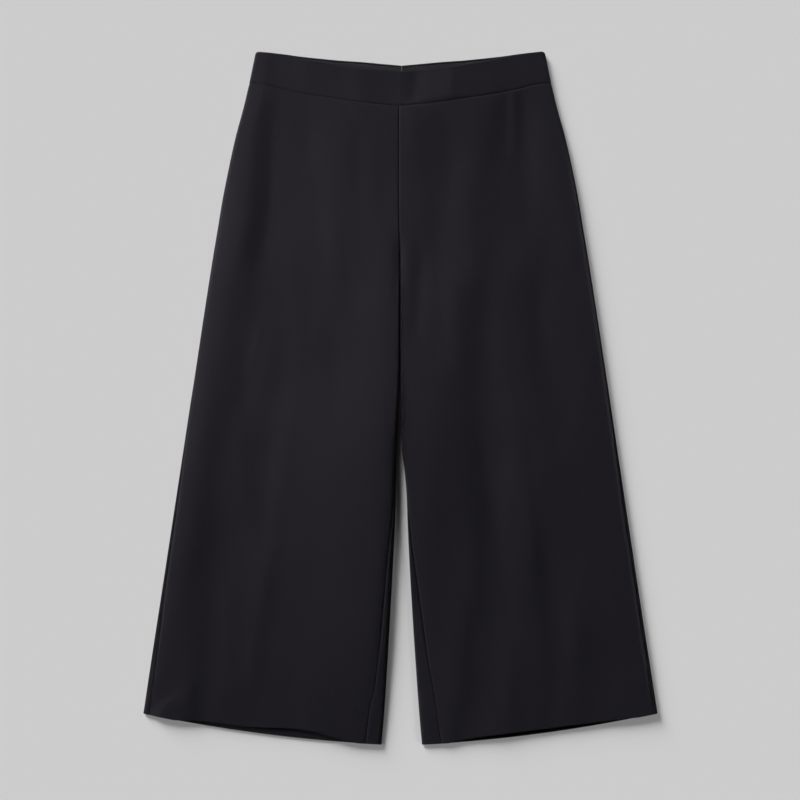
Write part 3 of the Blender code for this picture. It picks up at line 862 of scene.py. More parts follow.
class ClothPiece:
    """A piece of cloth as one closed shell on the shared surface."""

    def __init__(self, tube: PressedTube, edge_sizes: EdgeSizes, spacing: GridSizes) -> None:
        """Keeps what every piece shares.

        Args:
            tube: the shared surface.
            edge_sizes: shape beside the edges.
            spacing: how close together the points lie.
        """
        self.tube = tube
        self.edge_sizes = edge_sizes
        self.spacing = spacing
        self.near = np.array(spacing.near)

    def grid(self, side: Side, place: Array, share_up: Array, level_at: LevelAt) -> Grid:
        """Points of the outer surface and the directions out of the cloth.

        Args:
            side: the leg.
            place: places, a row of them for each share.
            share_up: shares of the way up, one for each row.
            level_at: levels of the piece.

        Returns:
            The grid.
        """
        rows = share_up[:, None] + np.zeros_like(place)
        surface = self.tube.surface
        points = surface(side, place, rows, level_at)
        step, step_up, inset = self.spacing.tangent, self.spacing.tangent_up, self.spacing.tangent_inset
        near = np.clip(place, place[:, :1] + inset, place[:, -1:] - inset)
        across = surface(side, near + step, rows, level_at) - surface(side, near - step, rows, level_at)
        up = surface(side, near, rows + step_up, level_at) - surface(side, near, rows - step_up, level_at)
        out = np.cross(across, up) * -side.value
        return Grid(points, out / np.linalg.norm(out, axis=-1, keepdims=True), place)

    def between(self, start: Array, end: Array, step: float) -> Array:
        """Even places between two columns of places, without the two.

        Args:
            start: first place of each row.
            end: last place of each row.
            step: widest step.

        Returns:
            Places, a row for each share.
        """
        count = int(np.ceil(np.max(np.abs(end - start)) / step))
        share = np.linspace(0, 1, count + 1)[1:-1]
        return start[:, None] + (end - start)[:, None] * share

    @property
    def half_gap(self) -> float:
        """Half the width of a seam's gap."""
        return self.tube.cloth.seam_gap / 2

    def side_seam(self, side: Side, rows: Array, level_at: LevelAt) -> Array:
        """Place of the side seam, row by row."""
        level = level_at(side, np.array(0.0), rows, np.array(True))
        return self.tube.pattern.side_seam[side](level)

    def seam_relief(self, distance: Array, along: Array) -> Array:
        """How far the cloth sinks beside a seam.

        Args:
            distance: distance from the seam.
            along: distance along the seam.

        Returns:
            Depths, below 0.
        """
        s = self.edge_sizes
        sunk = s.seam_depth * np.exp(-((distance / s.seam_width) ** 2))
        pulled = s.pull_depth * np.exp(-((distance / s.pull_width) ** 2))
        waves = sum(np.sin(along * pace + phase) for pace, phase in s.puckers)
        puckered = s.pucker_depth / 2 * (1 + waves / len(s.puckers)) * np.exp(-distance / s.pucker_width)
        return -(sunk + pulled + puckered)

    def nose(self, distance: Array, thickness: Array) -> Array:
        """How far each face draws in where a folded edge is rounded.

        Args:
            distance: distance from the edge.
            thickness: thickness of the cloth.

        Returns:
            Depths, above 0.
        """
        radius = thickness / 2
        left = 1 - np.clip(distance / radius, 0.0, 1.0)
        return self.edge_sizes.nose * radius * (1 - np.sqrt(1 - left**2))

    def shell(self, node: str, grid: Grid, thickness: Array, edges: Edges, relief: Array,
              material: bpy.types.Material) -> bpy.types.Object:
        """Builds the closed shell.

        Args:
            node: name of the solid that it dresses.
            grid: outer surface.
            thickness: thickness at each point.
            edges: how the four edges end.
            relief: fine height on the outer side.
            material: what it is made of.

        Returns:
            The object.
        """
        outer_relief = relief.copy()
        inner_relief = np.zeros_like(relief)
        distances = grid.from_edges
        for edge, distance in distances.items():
            along = grid.points[..., 1] if edge in ("start", "end") else grid.place
            if getattr(edges, edge) is Edge.SEAM:
                stiff = self.edge_sizes.stiffened(along) if edge in ("start", "end") else 1.0
                outer_relief += self.seam_relief(distance, along) * stiff
            else:
                drawn = self.nose(distance, thickness)
                outer_relief -= drawn
                inner_relief += drawn
        outer = grid.points + grid.out * outer_relief[..., None]
        inner = grid.points - grid.out * (thickness - inner_relief)[..., None]
        made = shell_object(f"{node}_cloth", outer, inner, grid, material)
        LOG.info("%s: %d faces", made.name, len(made.data.polygons))
        return made


def shell_object(name: str, outer: Array, inner: Array, grid: Grid, material: bpy.types.Material
                 ) -> bpy.types.Object:
    """One closed mesh between two grids of points, with its grain as a UV map.

    Args:
        name: name of the object.
        outer: points of the outer side.
        inner: points of the inner side.
        grid: the grid that both came from.
        material: what it is made of.

    Returns:
        The object, linked to the scene.
    """
    rows, columns = outer.shape[:2]
    count = rows * columns
    index = np.arange(count).reshape(rows, columns)
    quads = np.stack([index[:-1, :-1], index[:-1, 1:], index[1:, 1:], index[1:, :-1]], axis=-1).reshape(-1, 4)
    rim = np.concatenate([index[0], index[1:, -1], index[-1, -2::-1], index[-2:0:-1, 0]])
    ring = np.stack([rim, rim + count, np.roll(rim, -1) + count, np.roll(rim, -1)], axis=-1)
    faces = np.vstack([quads, quads[:, ::-1] + count, ring])
    normal = np.cross(outer[0, 1] - outer[0, 0], outer[1, 0] - outer[0, 0])
    if normal @ grid.out[0, 0] < 0:
        faces = faces[:, ::-1]
    points = np.vstack([outer.reshape(-1, 3), inner.reshape(-1, 3)]) * METRE
    grain = np.stack([grid.place, grid.points[..., 1]], axis=-1).reshape(-1, 2) * METRE
    mesh = bpy.data.meshes.new(name)
    mesh.vertices.add(len(points))
    mesh.vertices.foreach_set("co", points.astype(np.float32).ravel())
    mesh.loops.add(faces.size)
    mesh.loops.foreach_set("vertex_index", faces.astype(np.int32).ravel())
    mesh.polygons.add(len(faces))
    mesh.polygons.foreach_set("loop_start", np.arange(0, faces.size, 4, dtype=np.int32))
    mesh.update(calc_edges=True)
    mesh.validate()
    uv = mesh.uv_layers.new(name="grain")
    uv.data.foreach_set("uv", np.vstack([grain, grain])[faces.ravel()].astype(np.float32).ravel())
    mesh.shade_smooth()
    mesh.materials.append(material)
    made = bpy.data.objects.new(name, mesh)
    bpy.context.scene.collection.objects.link(made)
    return made


@dataclass(frozen=True)
class PanelSizes:
    """Rows of the leg panels, by height above the hem, and the small forms on them. A run of shares is
    where it starts, where it ends and how many there are."""

    length: float = 813.0
    row: float = 5.0
    edge_rows: int = 10
    hem_from: float = 9.0
    hem_to: float = 32.0
    hem_row: float = 4.0
    hem_line: tuple[float, ...] = (34, 37, 39, 40.2, 41.2, 42, 42.8, 43.8, 45, 47, 50)
    middle_from: float = 54.0
    crotch_from: float = 560.0
    crotch_to: float = 660.0
    crotch_row: float = 2.5
    waist_rows: int = 11
    waist: float = 12.0
    inseam_near: tuple[float, ...] = (0, 0.01, 0.03, 0.06, 0.12)
    inseam_far: tuple[float, float, int] = (0.82, 0.06, 8)
    side_shares: tuple[float, ...] = (0.12, 0.25, 0.38, 0.5, 0.62, 0.74, 0.85, 0.93, 0.98, 1.0)
    hem_run: float = 1.2
    hem_step: float = 0.04
    hem_step_run: float = 5.0
    stitch_every: float = 7.3
    stitch_depth: float = 0.12
    stitch_width: float = 1.6
    stitch_sharpness: int = 8
    stitch_wander: float = 0.8
    stitch_wander_pace: float = 0.11
    lip: Curve = Curve((
        (330, 0.0), (280, 0.5), (26, 0.6), (-86, 0.75), (-311, 0.75), (-367, 0.4), (-403, 0.15),
    ))
    lip_run: float = 3.0


class LegPanels(ClothPiece):
    """The front and the back panel of one leg."""

    sizes = PanelSizes()

    def rows(self) -> Array:
        """Rows of the panels.

        Returns:
            Shares of the way up, closer together at the hem, the hem's stitching, the crotch and the waist.
        """
        s = self.sizes
        heights = (
            self.near[:s.edge_rows],
            np.arange(s.hem_from, s.hem_to, s.hem_row),
            np.array(s.hem_line),
            np.arange(s.middle_from, s.crotch_from, s.row),
            np.arange(s.crotch_from, s.crotch_to, s.crotch_row),
            np.arange(s.crotch_to, s.length - s.waist, s.row),
            s.length - self.near[:s.waist_rows][::-1],
        )
        return np.concatenate(heights) / s.length

    def thickness(self, side: Side, rows: Array) -> Array:
        """Thickness of the cloth row by row.

        Args:
            side: the leg.
            rows: shares of the way up.

        Returns:
            Thicknesses, doubled where the hem is turned up.
        """
        cloth = self.tube.cloth
        level = self.tube.leg_level(side, np.array(1.0), rows, np.array(True))
        turned = ease((level - level[0] - cloth.hem_turn) / self.sizes.hem_run)
        return cloth.hem + (cloth.panel - cloth.hem) * turned

    def hem_relief(self, grid: Grid, rows: Array) -> Array:
        """The turned-up hem from outside: slightly proud, with the dimples of its blind stitches.

        Args:
            grid: outer surface.
            rows: shares of the way up.

        Returns:
            Heights.
        """
        s = self.sizes
        above = (rows * s.length)[:, None] - self.tube.cloth.hem_turn
        proud = s.hem_step * (1 - ease(0.5 + above / s.hem_step_run))
        wander = s.stitch_wander * np.sin(grid.place * s.stitch_wander_pace)
        stitch = np.cos(grid.place * 2 * np.pi / s.stitch_every + wander) ** s.stitch_sharpness
        return proud - s.stitch_depth * stitch * np.exp(-((above / s.stitch_width) ** 2))

    def lip(self, side: Side, grid: Grid) -> Array:
        """How far the front panel stands up where it ends on the left outer fold.

        Args:
            side: the leg.
            grid: outer surface of the front panel.

        Returns:
            Heights.
        """
        if side is Side.RIGHT:
            return np.zeros_like(grid.place)
        from_seam = grid.place - grid.place[:, :1]
        return self.sizes.lip(grid.points[..., 1]) * np.exp(-((from_seam / self.sizes.lip_run) ** 2))

    def inseam(self, side: Side, rows: Array) -> tuple[Array, Array, Array]:
        """Where the inseam lies, row by row.

        Args:
            side: the leg.
            rows: shares of the way up.

        Returns:
            Its distance from the inner fold, how far it has come out of the crotch, and half its gap.
        """
        tube = self.tube
        level = tube.leg_level(side, np.array(1.0), rows, np.array(True))
        return tube.pattern.inseam[side](level), tube.sewn(level), self.half_gap * tube.closed(level)

    def front_places(self, side: Side, rows: Array) -> Array:
        """Places across a front panel, from the side seam to the middle.

        Args:
            side: the leg.
            rows: shares of the way up.

        Returns:
            Places.
        """
        inseam, out, gap = self.inseam(side, rows)
        run, _ = self.tube.run_length(side, rows, np.array(True), self.tube.leg_level)
        first = (self.side_seam(side, rows, self.tube.leg_level) + self.half_gap)[:, None] + self.near
        last = (run - (inseam * out + gap))[:, None] - self.near[::-1]
        return np.hstack([first, self.between(first[:, -1], last[:, 0], self.spacing.across), last])

    def back_places(self, side: Side, rows: Array) -> Array:
        """Places across a back panel, from the inseam under the bottom and up to the side seam.

        Args:
            side: the leg.
            rows: shares of the way up.

        Returns:
            Places.
        """
        s = self.sizes
        inseam, out, gap = (found[:, None] for found in self.inseam(side, rows))
        run, _ = self.tube.run_length(side, rows, np.array(False), self.tube.leg_level)
        inset = inseam * out - gap
        shares = np.concatenate([1 - np.array(s.inseam_near), np.linspace(*s.inseam_far)])
        wrapped = np.hstack([inset * shares, -self.near[None, :] + np.zeros_like(inset)])
        opened = -gap - np.linspace(0, self.near[-1], wrapped.shape[1])
        inner = -run[:, None] - (out * wrapped + (1 - out) * opened)
        end = (self.side_seam(side, rows, self.tube.leg_level) - self.half_gap)[:, None]
        outer = np.hstack([-self.near[::-1] + np.zeros_like(end), end * np.array(s.side_shares)])
        return np.hstack([inner, self.between(inner[:, -1], outer[:, 0], self.spacing.across_under), outer])

    def build(self, side: Side, material: bpy.types.Material) -> dict[str, bpy.types.Object]:
        """Both panels of a leg.

        Args:
            side: the leg.
            material: the suiting.

        Returns:
            The front and the back panel by name.
        """
        rows = self.rows()
        edges = Edges(Edge.SEAM, Edge.SEAM, Edge.FOLDED, Edge.SEAM)
        made = {}
        layers = {"front": self.front_places(side, rows), "back": self.back_places(side, rows)}
        for kind, places in layers.items():
            grid = self.grid(side, places, rows, self.tube.leg_level)
            thickness = self.thickness(side, rows)[:, None] + np.zeros_like(places)
            relief = np.zeros_like(places)
            if kind == "front":
                relief = self.hem_relief(grid, rows) + self.lip(side, grid)
            node = f"{kind}_leg_{side.word}"
            made[node] = self.shell(node, grid, thickness, edges, relief, material)
        return made


@dataclass(frozen=True)
class BandSizes:
    """Rows of the bands and the facings, by share of the way up, and where the bands' top is rolled over. A
    run of shares is where it starts, where it ends and how many there are."""

    rows: tuple[float, ...] = (
        0, 0.003, 0.009, 0.018, 0.03, 0.045, 0.07, 0.1, 0.15, 0.2, 0.26, 0.32, 0.38, 0.44, 0.5, 0.56, 0.62,
        0.68, 0.74, 0.8, 0.85, 0.89, 0.92, 0.94, 0.951, 0.962, 0.972, 0.98, 0.987, 0.993, 0.997, 1.0,
    )
    side_shares: tuple[float, float, int] = (0.125, 1.0, 8)
    roll_from: float = 0.947
    roll_run: float = 0.006
    front_flat: float = 12.0
    front_run: float = 8.0
    back_flat: float = 10.4
    back_run: float = 3.0
    facing_rows: tuple[tuple[float, float, int], ...] = ((0, 0.76, 12), (0.79, 0.87, 6), (0.885, 1.0, 12))
    facing_first: int = 8
    facing_last: int = 5


class Waistband(ClothPiece):
    """The front waistband, the two back ones with their rolled edge, and the facings on those."""

    sizes = BandSizes()

    @property
    def rows(self) -> Array:
        """Rows of a band, as shares of the way up."""
        return np.array(self.sizes.rows)

    def across(self, side: Side, over: bool) -> Array:
        """Places across half a band.

        Args:
            side: the side.
            over: whether it is the front band.

        Returns:
            Places, from the side seam to the centre front, or from the centre back to the side seam.
        """
        rows, level_at, step = self.rows, self.tube.band_level, self.spacing.across
        seam = self.side_seam(side, rows, level_at)
        run, _ = self.tube.run_length(side, rows, np.array(over), level_at)
        if over:
            first = (seam + self.half_gap)[:, None] + self.near
            return np.hstack([first, self.between(first[:, -1], run, step)])
        end = (seam - self.half_gap)[:, None]
        inner = -run[:, None] + self.near
        outer = np.hstack([-self.near[::-1] + np.zeros_like(end), end * np.linspace(*self.sizes.side_shares)])
        return np.hstack([inner, self.between(inner[:, -1], outer[:, 0], step), outer])

    def thickness(self, flat: float, clear: Array) -> Array:
        """Thickness of a band, rolled over at its top where clear is 1 or more."""
        rolled = ease((self.rows - self.sizes.roll_from) / self.sizes.roll_run)[:, None] * ease(clear)
        return flat + (self.tube.cloth.lip - flat) * rolled

    def front(self, material: bpy.types.Material) -> bpy.types.Object:
        """The front band, one piece from side seam to side seam.

        Args:
            material: the suiting.

        Returns:
            The object.
        """
        s, level_at = self.sizes, self.tube.band_level
        right, left = (self.grid(side, self.across(side, True), self.rows, level_at) for side in Side)
        place = np.hstack([right.place - right.place[:, -1:],
                           left.place[:, -1:] - left.place[:, ::-1] + self.spacing.across])
        grid = Grid(np.hstack([right.points, left.points[:, ::-1]]),
                    np.hstack([right.out, left.out[:, ::-1]]), place)
        clear = (np.abs(grid.points[..., 0]) - s.front_flat) / s.front_run
        thickness = self.thickness(self.tube.cloth.front_band, clear)
        edges = Edges(Edge.SEAM, Edge.SEAM, Edge.SEAM, Edge.FOLDED)
        return self.shell("front_waistband", grid, thickness, edges, np.zeros_like(place), material)

    def back(self, side: Side, material: bpy.types.Material) -> bpy.types.Object:
        """A back band with its top edge rolled to the inside.

        Args:
            side: the side.
            material: the suiting.

        Returns:
            The object.
        """
        places = self.across(side, False)
        grid = self.grid(side, places, self.rows, self.tube.band_level)
        clear = (-places - self.sizes.back_flat) / self.sizes.back_run
        thickness = self.thickness(self.tube.cloth.back_band, clear)
        edges = Edges(Edge.FOLDED, Edge.SEAM, Edge.SEAM, Edge.FOLDED)
        node = f"back_waistband_{side.word}"
        return self.shell(node, grid, thickness, edges, np.zeros_like(places), material)

    def facing(self, side: Side, material: bpy.types.Material) -> bpy.types.Object:
        """A facing on the inside of a back band.

        Args:
            side: the side.
            material: the facing's cloth.

        Returns:
            The object.
        """
        s, cloth, level_at = self.sizes, self.tube.cloth, self.tube.facing_level
        rows = np.concatenate([np.linspace(*part) for part in s.facing_rows])
        run, _ = self.tube.run_length(side, rows, np.array(False), level_at)
        inset = self.tube.pattern.facing_edge(level_at(side, np.array(1.0), rows, np.array(False)))
        first = (-run + inset)[:, None] + self.near[:s.facing_first]
        end = np.full(len(rows), -self.near[-1] - self.spacing.across)
        last = end[:, None] - self.near[:s.facing_last][::-1]
        places = np.hstack([first, self.between(first[:, -1], last[:, 0], self.spacing.across), last])
        grid = self.grid(side, places, rows, level_at)
        inward = cloth.solid_back_band + cloth.seam_gap
        lowered = Grid(grid.points - grid.out * (inward + cloth.solid_facing), -grid.out, grid.place)
        thickness = np.full(places.shape, cloth.facing)
        edges = Edges(Edge.FOLDED, Edge.FOLDED, Edge.SEAM, Edge.SEAM)
        node = f"back_facing_{side.word}"
        return self.shell(node, lowered, thickness, edges, np.zeros_like(places), material)


class NodeSheet:
    """A node tree that nodes are added to by name and wired by name."""

    def __init__(self, tree: bpy.types.NodeTree) -> None:
        """Keeps a material's or a group's tree."""
        self.tree = tree

    def add(self, kind: str, label: str, **settings: object) -> bpy.types.Node:
        """Adds a node.

        Args:
            kind: Blender's name for the node's type.
            label: what it is for.
            settings: the node's own settings.

        Returns:
            The node.
        """
        node = self.tree.nodes.new(kind)
        node.label = label
        for name, value in settings.items():
            setattr(node, name, value)
        return node

    def math(self, operation: str, label: str, *values: object) -> bpy.types.NodeSocket:
        """Adds a Math node.

        Args:
            operation: what it works out.
            label: what it is for.
            values: numbers, or sockets to wire in.

        Returns:
            Its result.
        """
        node = self.add("ShaderNodeMath", label, operation=operation)
        for socket, value in zip(node.inputs, values):
            self.feed(value, socket)
        return node.outputs[0]

    def feed(self, value: object, socket: bpy.types.NodeSocket) -> None:
        """Sets a socket, or wires another one to it.

        Args:
            value: a number, a vector, or a socket.
            socket: the input.
        """
        if isinstance(value, bpy.types.NodeSocket):
            self.tree.links.new(value, socket)
        else:
            socket.default_value = value


def new_group(name: str, inputs: tuple[tuple[str, str, float], ...], outputs: tuple[tuple[str, str], ...]
              ) -> tuple[bpy.types.NodeTree, NodeSheet, bpy.types.Node, bpy.types.Node]:
    """Starts a node group.

    Args:
        name: name of the group.
        inputs: name, socket type and default value of each input. A vector's default is not set.
        outputs: name and socket type of each output.

    Returns:
        The group, its sheet, and its input and output nodes.
    """
    group = bpy.data.node_groups.new(name, "ShaderNodeTree")
    for label, kind, default in inputs:
        socket = group.interface.new_socket(label, in_out="INPUT", socket_type=kind)
        if kind == "NodeSocketFloat":
            socket.default_value = default
    for label, kind in outputs:
        group.interface.new_socket(label, in_out="OUTPUT", socket_type=kind)
    sheet = NodeSheet(group)
    return group, sheet, sheet.add("NodeGroupInput", "in"), sheet.add("NodeGroupOutput", "out")


TWILL_REPEAT = 3.0  # threads in the repeat: over two, under one
UNDER_ONE = 0.2  # the share of the repeat up to which the weft is on top
WARP_RISE = 0.15  # how much higher than the weft the warp stands, in threads
WEFT_SEED = 1.37  # keeps the weft's threads apart from the warp's


@dataclass(frozen=True)
class Cloud:
    """A kind of unevenness in the cloth: its name, how much finer it is than the broadest, its detail."""

    name: str
    finer: float
    detail: float


CLOUDS = (Cloud("Broad", 1.0, 3.0), Cloud("Creases", 6.0, 1.5), Cloud("Fine", 24.0, 2.0))
STRETCH = (1.0, 0.38, 1.0)  # longer along the warp than across it


def weave_group() -> bpy.types.NodeTree:
    """Twill: each thread crosses over two and under one, a step further in the next row.

    Returns:
        The group, with the threads' height and a value of its own for each thread.
    """
    group, sheet, start, end = new_group(
        "twill",
        (("Grain", "NodeSocketVector", 0.0), ("Threads per metre", "NodeSocketFloat", 2200.0)),
        (("Height", "NodeSocketFloat"), ("Thread", "NodeSocketFloat")),
    )
    split = sheet.add("ShaderNodeSeparateXYZ", "grain")
    sheet.feed(start.outputs["Grain"], split.inputs[0])
    warp = sheet.math("MULTIPLY", "warp", split.outputs[0], start.outputs["Threads per metre"])
    weft = sheet.math("MULTIPLY", "weft", split.outputs[1], start.outputs["Threads per metre"])
    warp_number = sheet.math("FLOOR", "warp thread", warp)
    weft_number = sheet.math("FLOOR", "weft thread", weft)
    number = sheet.math("ADD", "diagonal", warp_number, weft_number)
    repeats = sheet.math("DIVIDE", "repeats", number, TWILL_REPEAT)
    place = sheet.math("FRACT", "place in the repeat", repeats)
    warp_up = sheet.math("GREATER_THAN", "warp on top", place, UNDER_ONE)
    warp_round = sheet.math("PINGPONG", "roundness of the warp", warp, 0.5)
    weft_round = sheet.math("PINGPONG", "roundness of the weft", weft, 0.5)
    height = sheet.add("ShaderNodeMix", "height", data_type="FLOAT")
    sheet.feed(warp_up, height.inputs["Factor"])
    sheet.feed(weft_round, height.inputs["A"])
    sheet.feed(sheet.math("ADD", "warp stands higher", warp_round, WARP_RISE), height.inputs["B"])
    chosen = sheet.add("ShaderNodeMix", "thread on top", data_type="FLOAT")
    sheet.feed(warp_up, chosen.inputs["Factor"])
    sheet.feed(sheet.math("MULTIPLY", "weft seed", weft_number, WEFT_SEED), chosen.inputs["A"])
    sheet.feed(warp_number, chosen.inputs["B"])
    noise = sheet.add("ShaderNodeTexWhiteNoise", "thread to thread", noise_dimensions="1D")
    sheet.feed(chosen.outputs["Result"], noise.inputs["W"])
    sheet.feed(height.outputs["Result"], end.inputs["Height"])
    sheet.feed(noise.outputs["Value"], end.inputs["Thread"])
    return group


def cloud_group() -> bpy.types.NodeTree:
    """Slow unevenness of the dye, small creases and the nap, stretched along the warp.

    Returns:
        The group, with a broad value, a height of small creases and a fine value.
    """
    group, sheet, start, end = new_group(
        "dye_and_nap",
        (("Grain", "NodeSocketVector", 0.0), ("Size", "NodeSocketFloat", 18.0)),
        tuple((cloud.name, "NodeSocketFloat") for cloud in CLOUDS),
    )
    stretch = sheet.add("ShaderNodeMapping", "along the warp")
    stretch.inputs["Scale"].default_value = STRETCH
    sheet.feed(start.outputs["Grain"], stretch.inputs["Vector"])
    for cloud in CLOUDS:
        noise = sheet.add("ShaderNodeTexNoise", cloud.name)
        sheet.feed(stretch.outputs[0], noise.inputs["Vector"])
        size = sheet.math("MULTIPLY", f"Size of {cloud.name}", start.outputs["Size"], cloud.finer)
        sheet.feed(size, noise.inputs["Scale"])
        noise.inputs["Detail"].default_value = cloud.detail
        sheet.feed(noise.outputs[0], end.inputs[cloud.name])
    return group


@dataclass(frozen=True)
class ClothFinish:
    """Look of a woven cloth."""

    name: str
    dark: tuple[float, float, float]
    light: tuple[float, float, float]
    roughness: float
    specular: float
    sheen: float
    sheen_tint: tuple[float, float, float]
    threads: float
    weave_depth: float
    sheen_roughness: float = 0.6
    thread_share: float = 0.35
    dye_share: float = 0.65
    crease_depth: float = 6.5
    bump: float = 0.0001


@dataclass(frozen=True)
class PlainFinish:
    """Look of a plain surface."""

    name: str
    colour: tuple[float, float, float]
    roughness: float
    metallic: float = 0.0
    specular: float = 0.5


SUITING = ClothFinish("black_suiting", (0.0034, 0.00284, 0.0044), (0.0047, 0.00402, 0.00585), 0.82, 0.07,
                      0.017, (0.75, 0.72, 0.85), 2200.0, 0.35)
FACING = ClothFinish("band_facing", (0.0051, 0.0046, 0.0058), (0.0067, 0.0061, 0.0076), 0.80, 0.093,
                     0.016, (0.75, 0.72, 0.85), 2600.0, 0.25)
TAPE = ClothFinish("zip_tape", (0.0060, 0.0058, 0.0066), (0.0080, 0.0078, 0.0088), 0.70, 0.20,
                   0.02, (0.75, 0.75, 0.80), 1800.0, 0.30)
PULL = PlainFinish("zip_metal", (0.0160, 0.0160, 0.0170), 0.35, 0.6)
GROUND = PlainFinish("ground", (0.604, 0.600, 0.602), 0.95, 0.0, 0.0)


def set_principled(material: bpy.types.Material) -> tuple[NodeSheet, bpy.types.Node]:
    """Gives a material a bare Principled shader.

    Args:
        material: a new material.

    Returns:
        Its sheet and its shader.
    """
    material.use_nodes = True
    material.node_tree.nodes.clear()
    sheet = NodeSheet(material.node_tree)
    shader = sheet.add("ShaderNodeBsdfPrincipled", "surface")
    output = sheet.add("ShaderNodeOutputMaterial", "output")
    sheet.feed(shader.outputs[0], output.inputs[0])
    return sheet, shader


def cloth_material(finish: ClothFinish, weave: bpy.types.NodeTree, clouds: bpy.types.NodeTree
                   ) -> bpy.types.Material:
    """A woven cloth.

    Args:
        finish: its look.
        weave: the twill group.
        clouds: the dye and nap group.

    Returns:
        The material.
    """
    made = bpy.data.materials.new(finish.name)
    sheet, shader = set_principled(made)
    grain = sheet.add("ShaderNodeUVMap", "grain", uv_map="grain")
    threads = sheet.add("ShaderNodeGroup", "twill", node_tree=weave)
    sheet.feed(grain.outputs[0], threads.inputs["Grain"])
    threads.inputs["Threads per metre"].default_value = finish.threads
    dye = sheet.add("ShaderNodeGroup", "dye and nap", node_tree=clouds)
    sheet.feed(grain.outputs[0], dye.inputs["Grain"])
    shade = sheet.math("MULTIPLY", "threads differ", threads.outputs["Thread"], finish.thread_share)
    shade = sheet.math("MULTIPLY_ADD", "dye differs", dye.outputs["Broad"], finish.dye_share, shade)
    colour = sheet.add("ShaderNodeMix", "colour", data_type="RGBA")
    sheet.feed(shade, colour.inputs["Factor"])
    colour.inputs["A"].default_value = (*finish.dark, 1.0)
    colour.inputs["B"].default_value = (*finish.light, 1.0)
    sheet.feed(colour.outputs["Result"], shader.inputs["Base Color"])
    height = sheet.math("ADD", "nap", dye.outputs["Fine"], threads.outputs["Height"])
    height = sheet.math("MULTIPLY_ADD", "small creases", dye.outputs["Creases"], finish.crease_depth, height)
    bumps = sheet.add("ShaderNodeBump", "weave")
    bumps.inputs["Strength"].default_value = finish.weave_depth
    bumps.inputs["Distance"].default_value = finish.bump
    sheet.feed(height, bumps.inputs["Height"])
    sheet.feed(bumps.outputs[0], shader.inputs["Normal"])
    shader.inputs["Roughness"].default_value = finish.roughness
    shader.inputs["Specular IOR Level"].default_value = finish.specular
    shader.inputs["Sheen Weight"].default_value = finish.sheen
    shader.inputs["Sheen Roughness"].default_value = finish.sheen_roughness
    shader.inputs["Sheen Tint"].default_value = (*finish.sheen_tint, 1.0)
    return made


def plain_material(finish: PlainFinish) -> bpy.types.Material:
    """A surface with nothing on it.

    Args:
        finish: its look.

    Returns:
        The material.
    """
    made = bpy.data.materials.new(finish.name)
    _, shader = set_principled(made)
    shader.inputs["Base Color"].default_value = (*finish.colour, 1.0)
    shader.inputs["Roughness"].default_value = finish.roughness
    shader.inputs["Metallic"].default_value = finish.metallic
    shader.inputs["Specular IOR Level"].default_value = finish.specular
    return made


class FallsOn(Enum):
    """What a light falls on."""

    ALL = "all"
    CLOTH = "cloth"
    GROUND = "ground"


@dataclass(frozen=True)
class StudioSizes:
    """Where the garment is seen from, how wide the ground is and how light the sky."""

    lens: float = 85.0
    sensor: float = 36.0
    across: float = 1.0208
    camera_x: float = -0.00045
    camera_y: float = -0.00223
    ground: float = 30.0
    ground_below: float = 0.0002
    sky: float = 0.02

    @property
    def height(self) -> float:
        """Height of the camera above the ground, in metres."""
        return self.across * self.lens / self.sensor


@dataclass(frozen=True)
class SunSizes:
    """A far light: where it comes from, in degrees, how strong it is on a surface that faces it, what it
    falls on, and the leg that alone stops it, if only one does. The azimuth is counted from +Y to -X."""

    name: str
    azimuth: float
    elevation: float
    spread: float
    strength: float
    falls_on: FallsOn = FallsOn.ALL
    stopped_by: Side | None = None


@dataclass(frozen=True)
class LampSizes:
    """A lamp near the garment."""

    name: str
    place: tuple[float, float, float]
    radius: float
    power: float
    falls_on: FallsOn = FallsOn.CLOTH
    stopped_by: Side | None = None


LIGHTS: tuple[SunSizes | LampSizes, ...] = (
    SunSizes("key", 33.0, 16.5, 25.0, 7.2),
    SunSizes("side", 80.0, 11.0, 16.0, 8.4, FallsOn.CLOTH),
    LampSizes("hip_lamp", (-0.26, 0.225, 0.42), 0.06, 9.0),
    SunSizes("fill", -112.0, 17.0, 20.0, 1.44, FallsOn.GROUND, Side.LEFT),
    SunSizes("high_fill", 90.0, 42.0, 40.0, 0.943, FallsOn.GROUND, Side.RIGHT),
)


def gathered(name: str, members: list[bpy.types.Object]) -> bpy.types.Collection:
    """A collection of objects that stay linked where they are.

    Args:
        name: its name.
        members: what it holds.

    Returns:
        The collection.
    """
    made = bpy.data.collections.new(name)
    for member in members:
        made.objects.link(member)
    return made


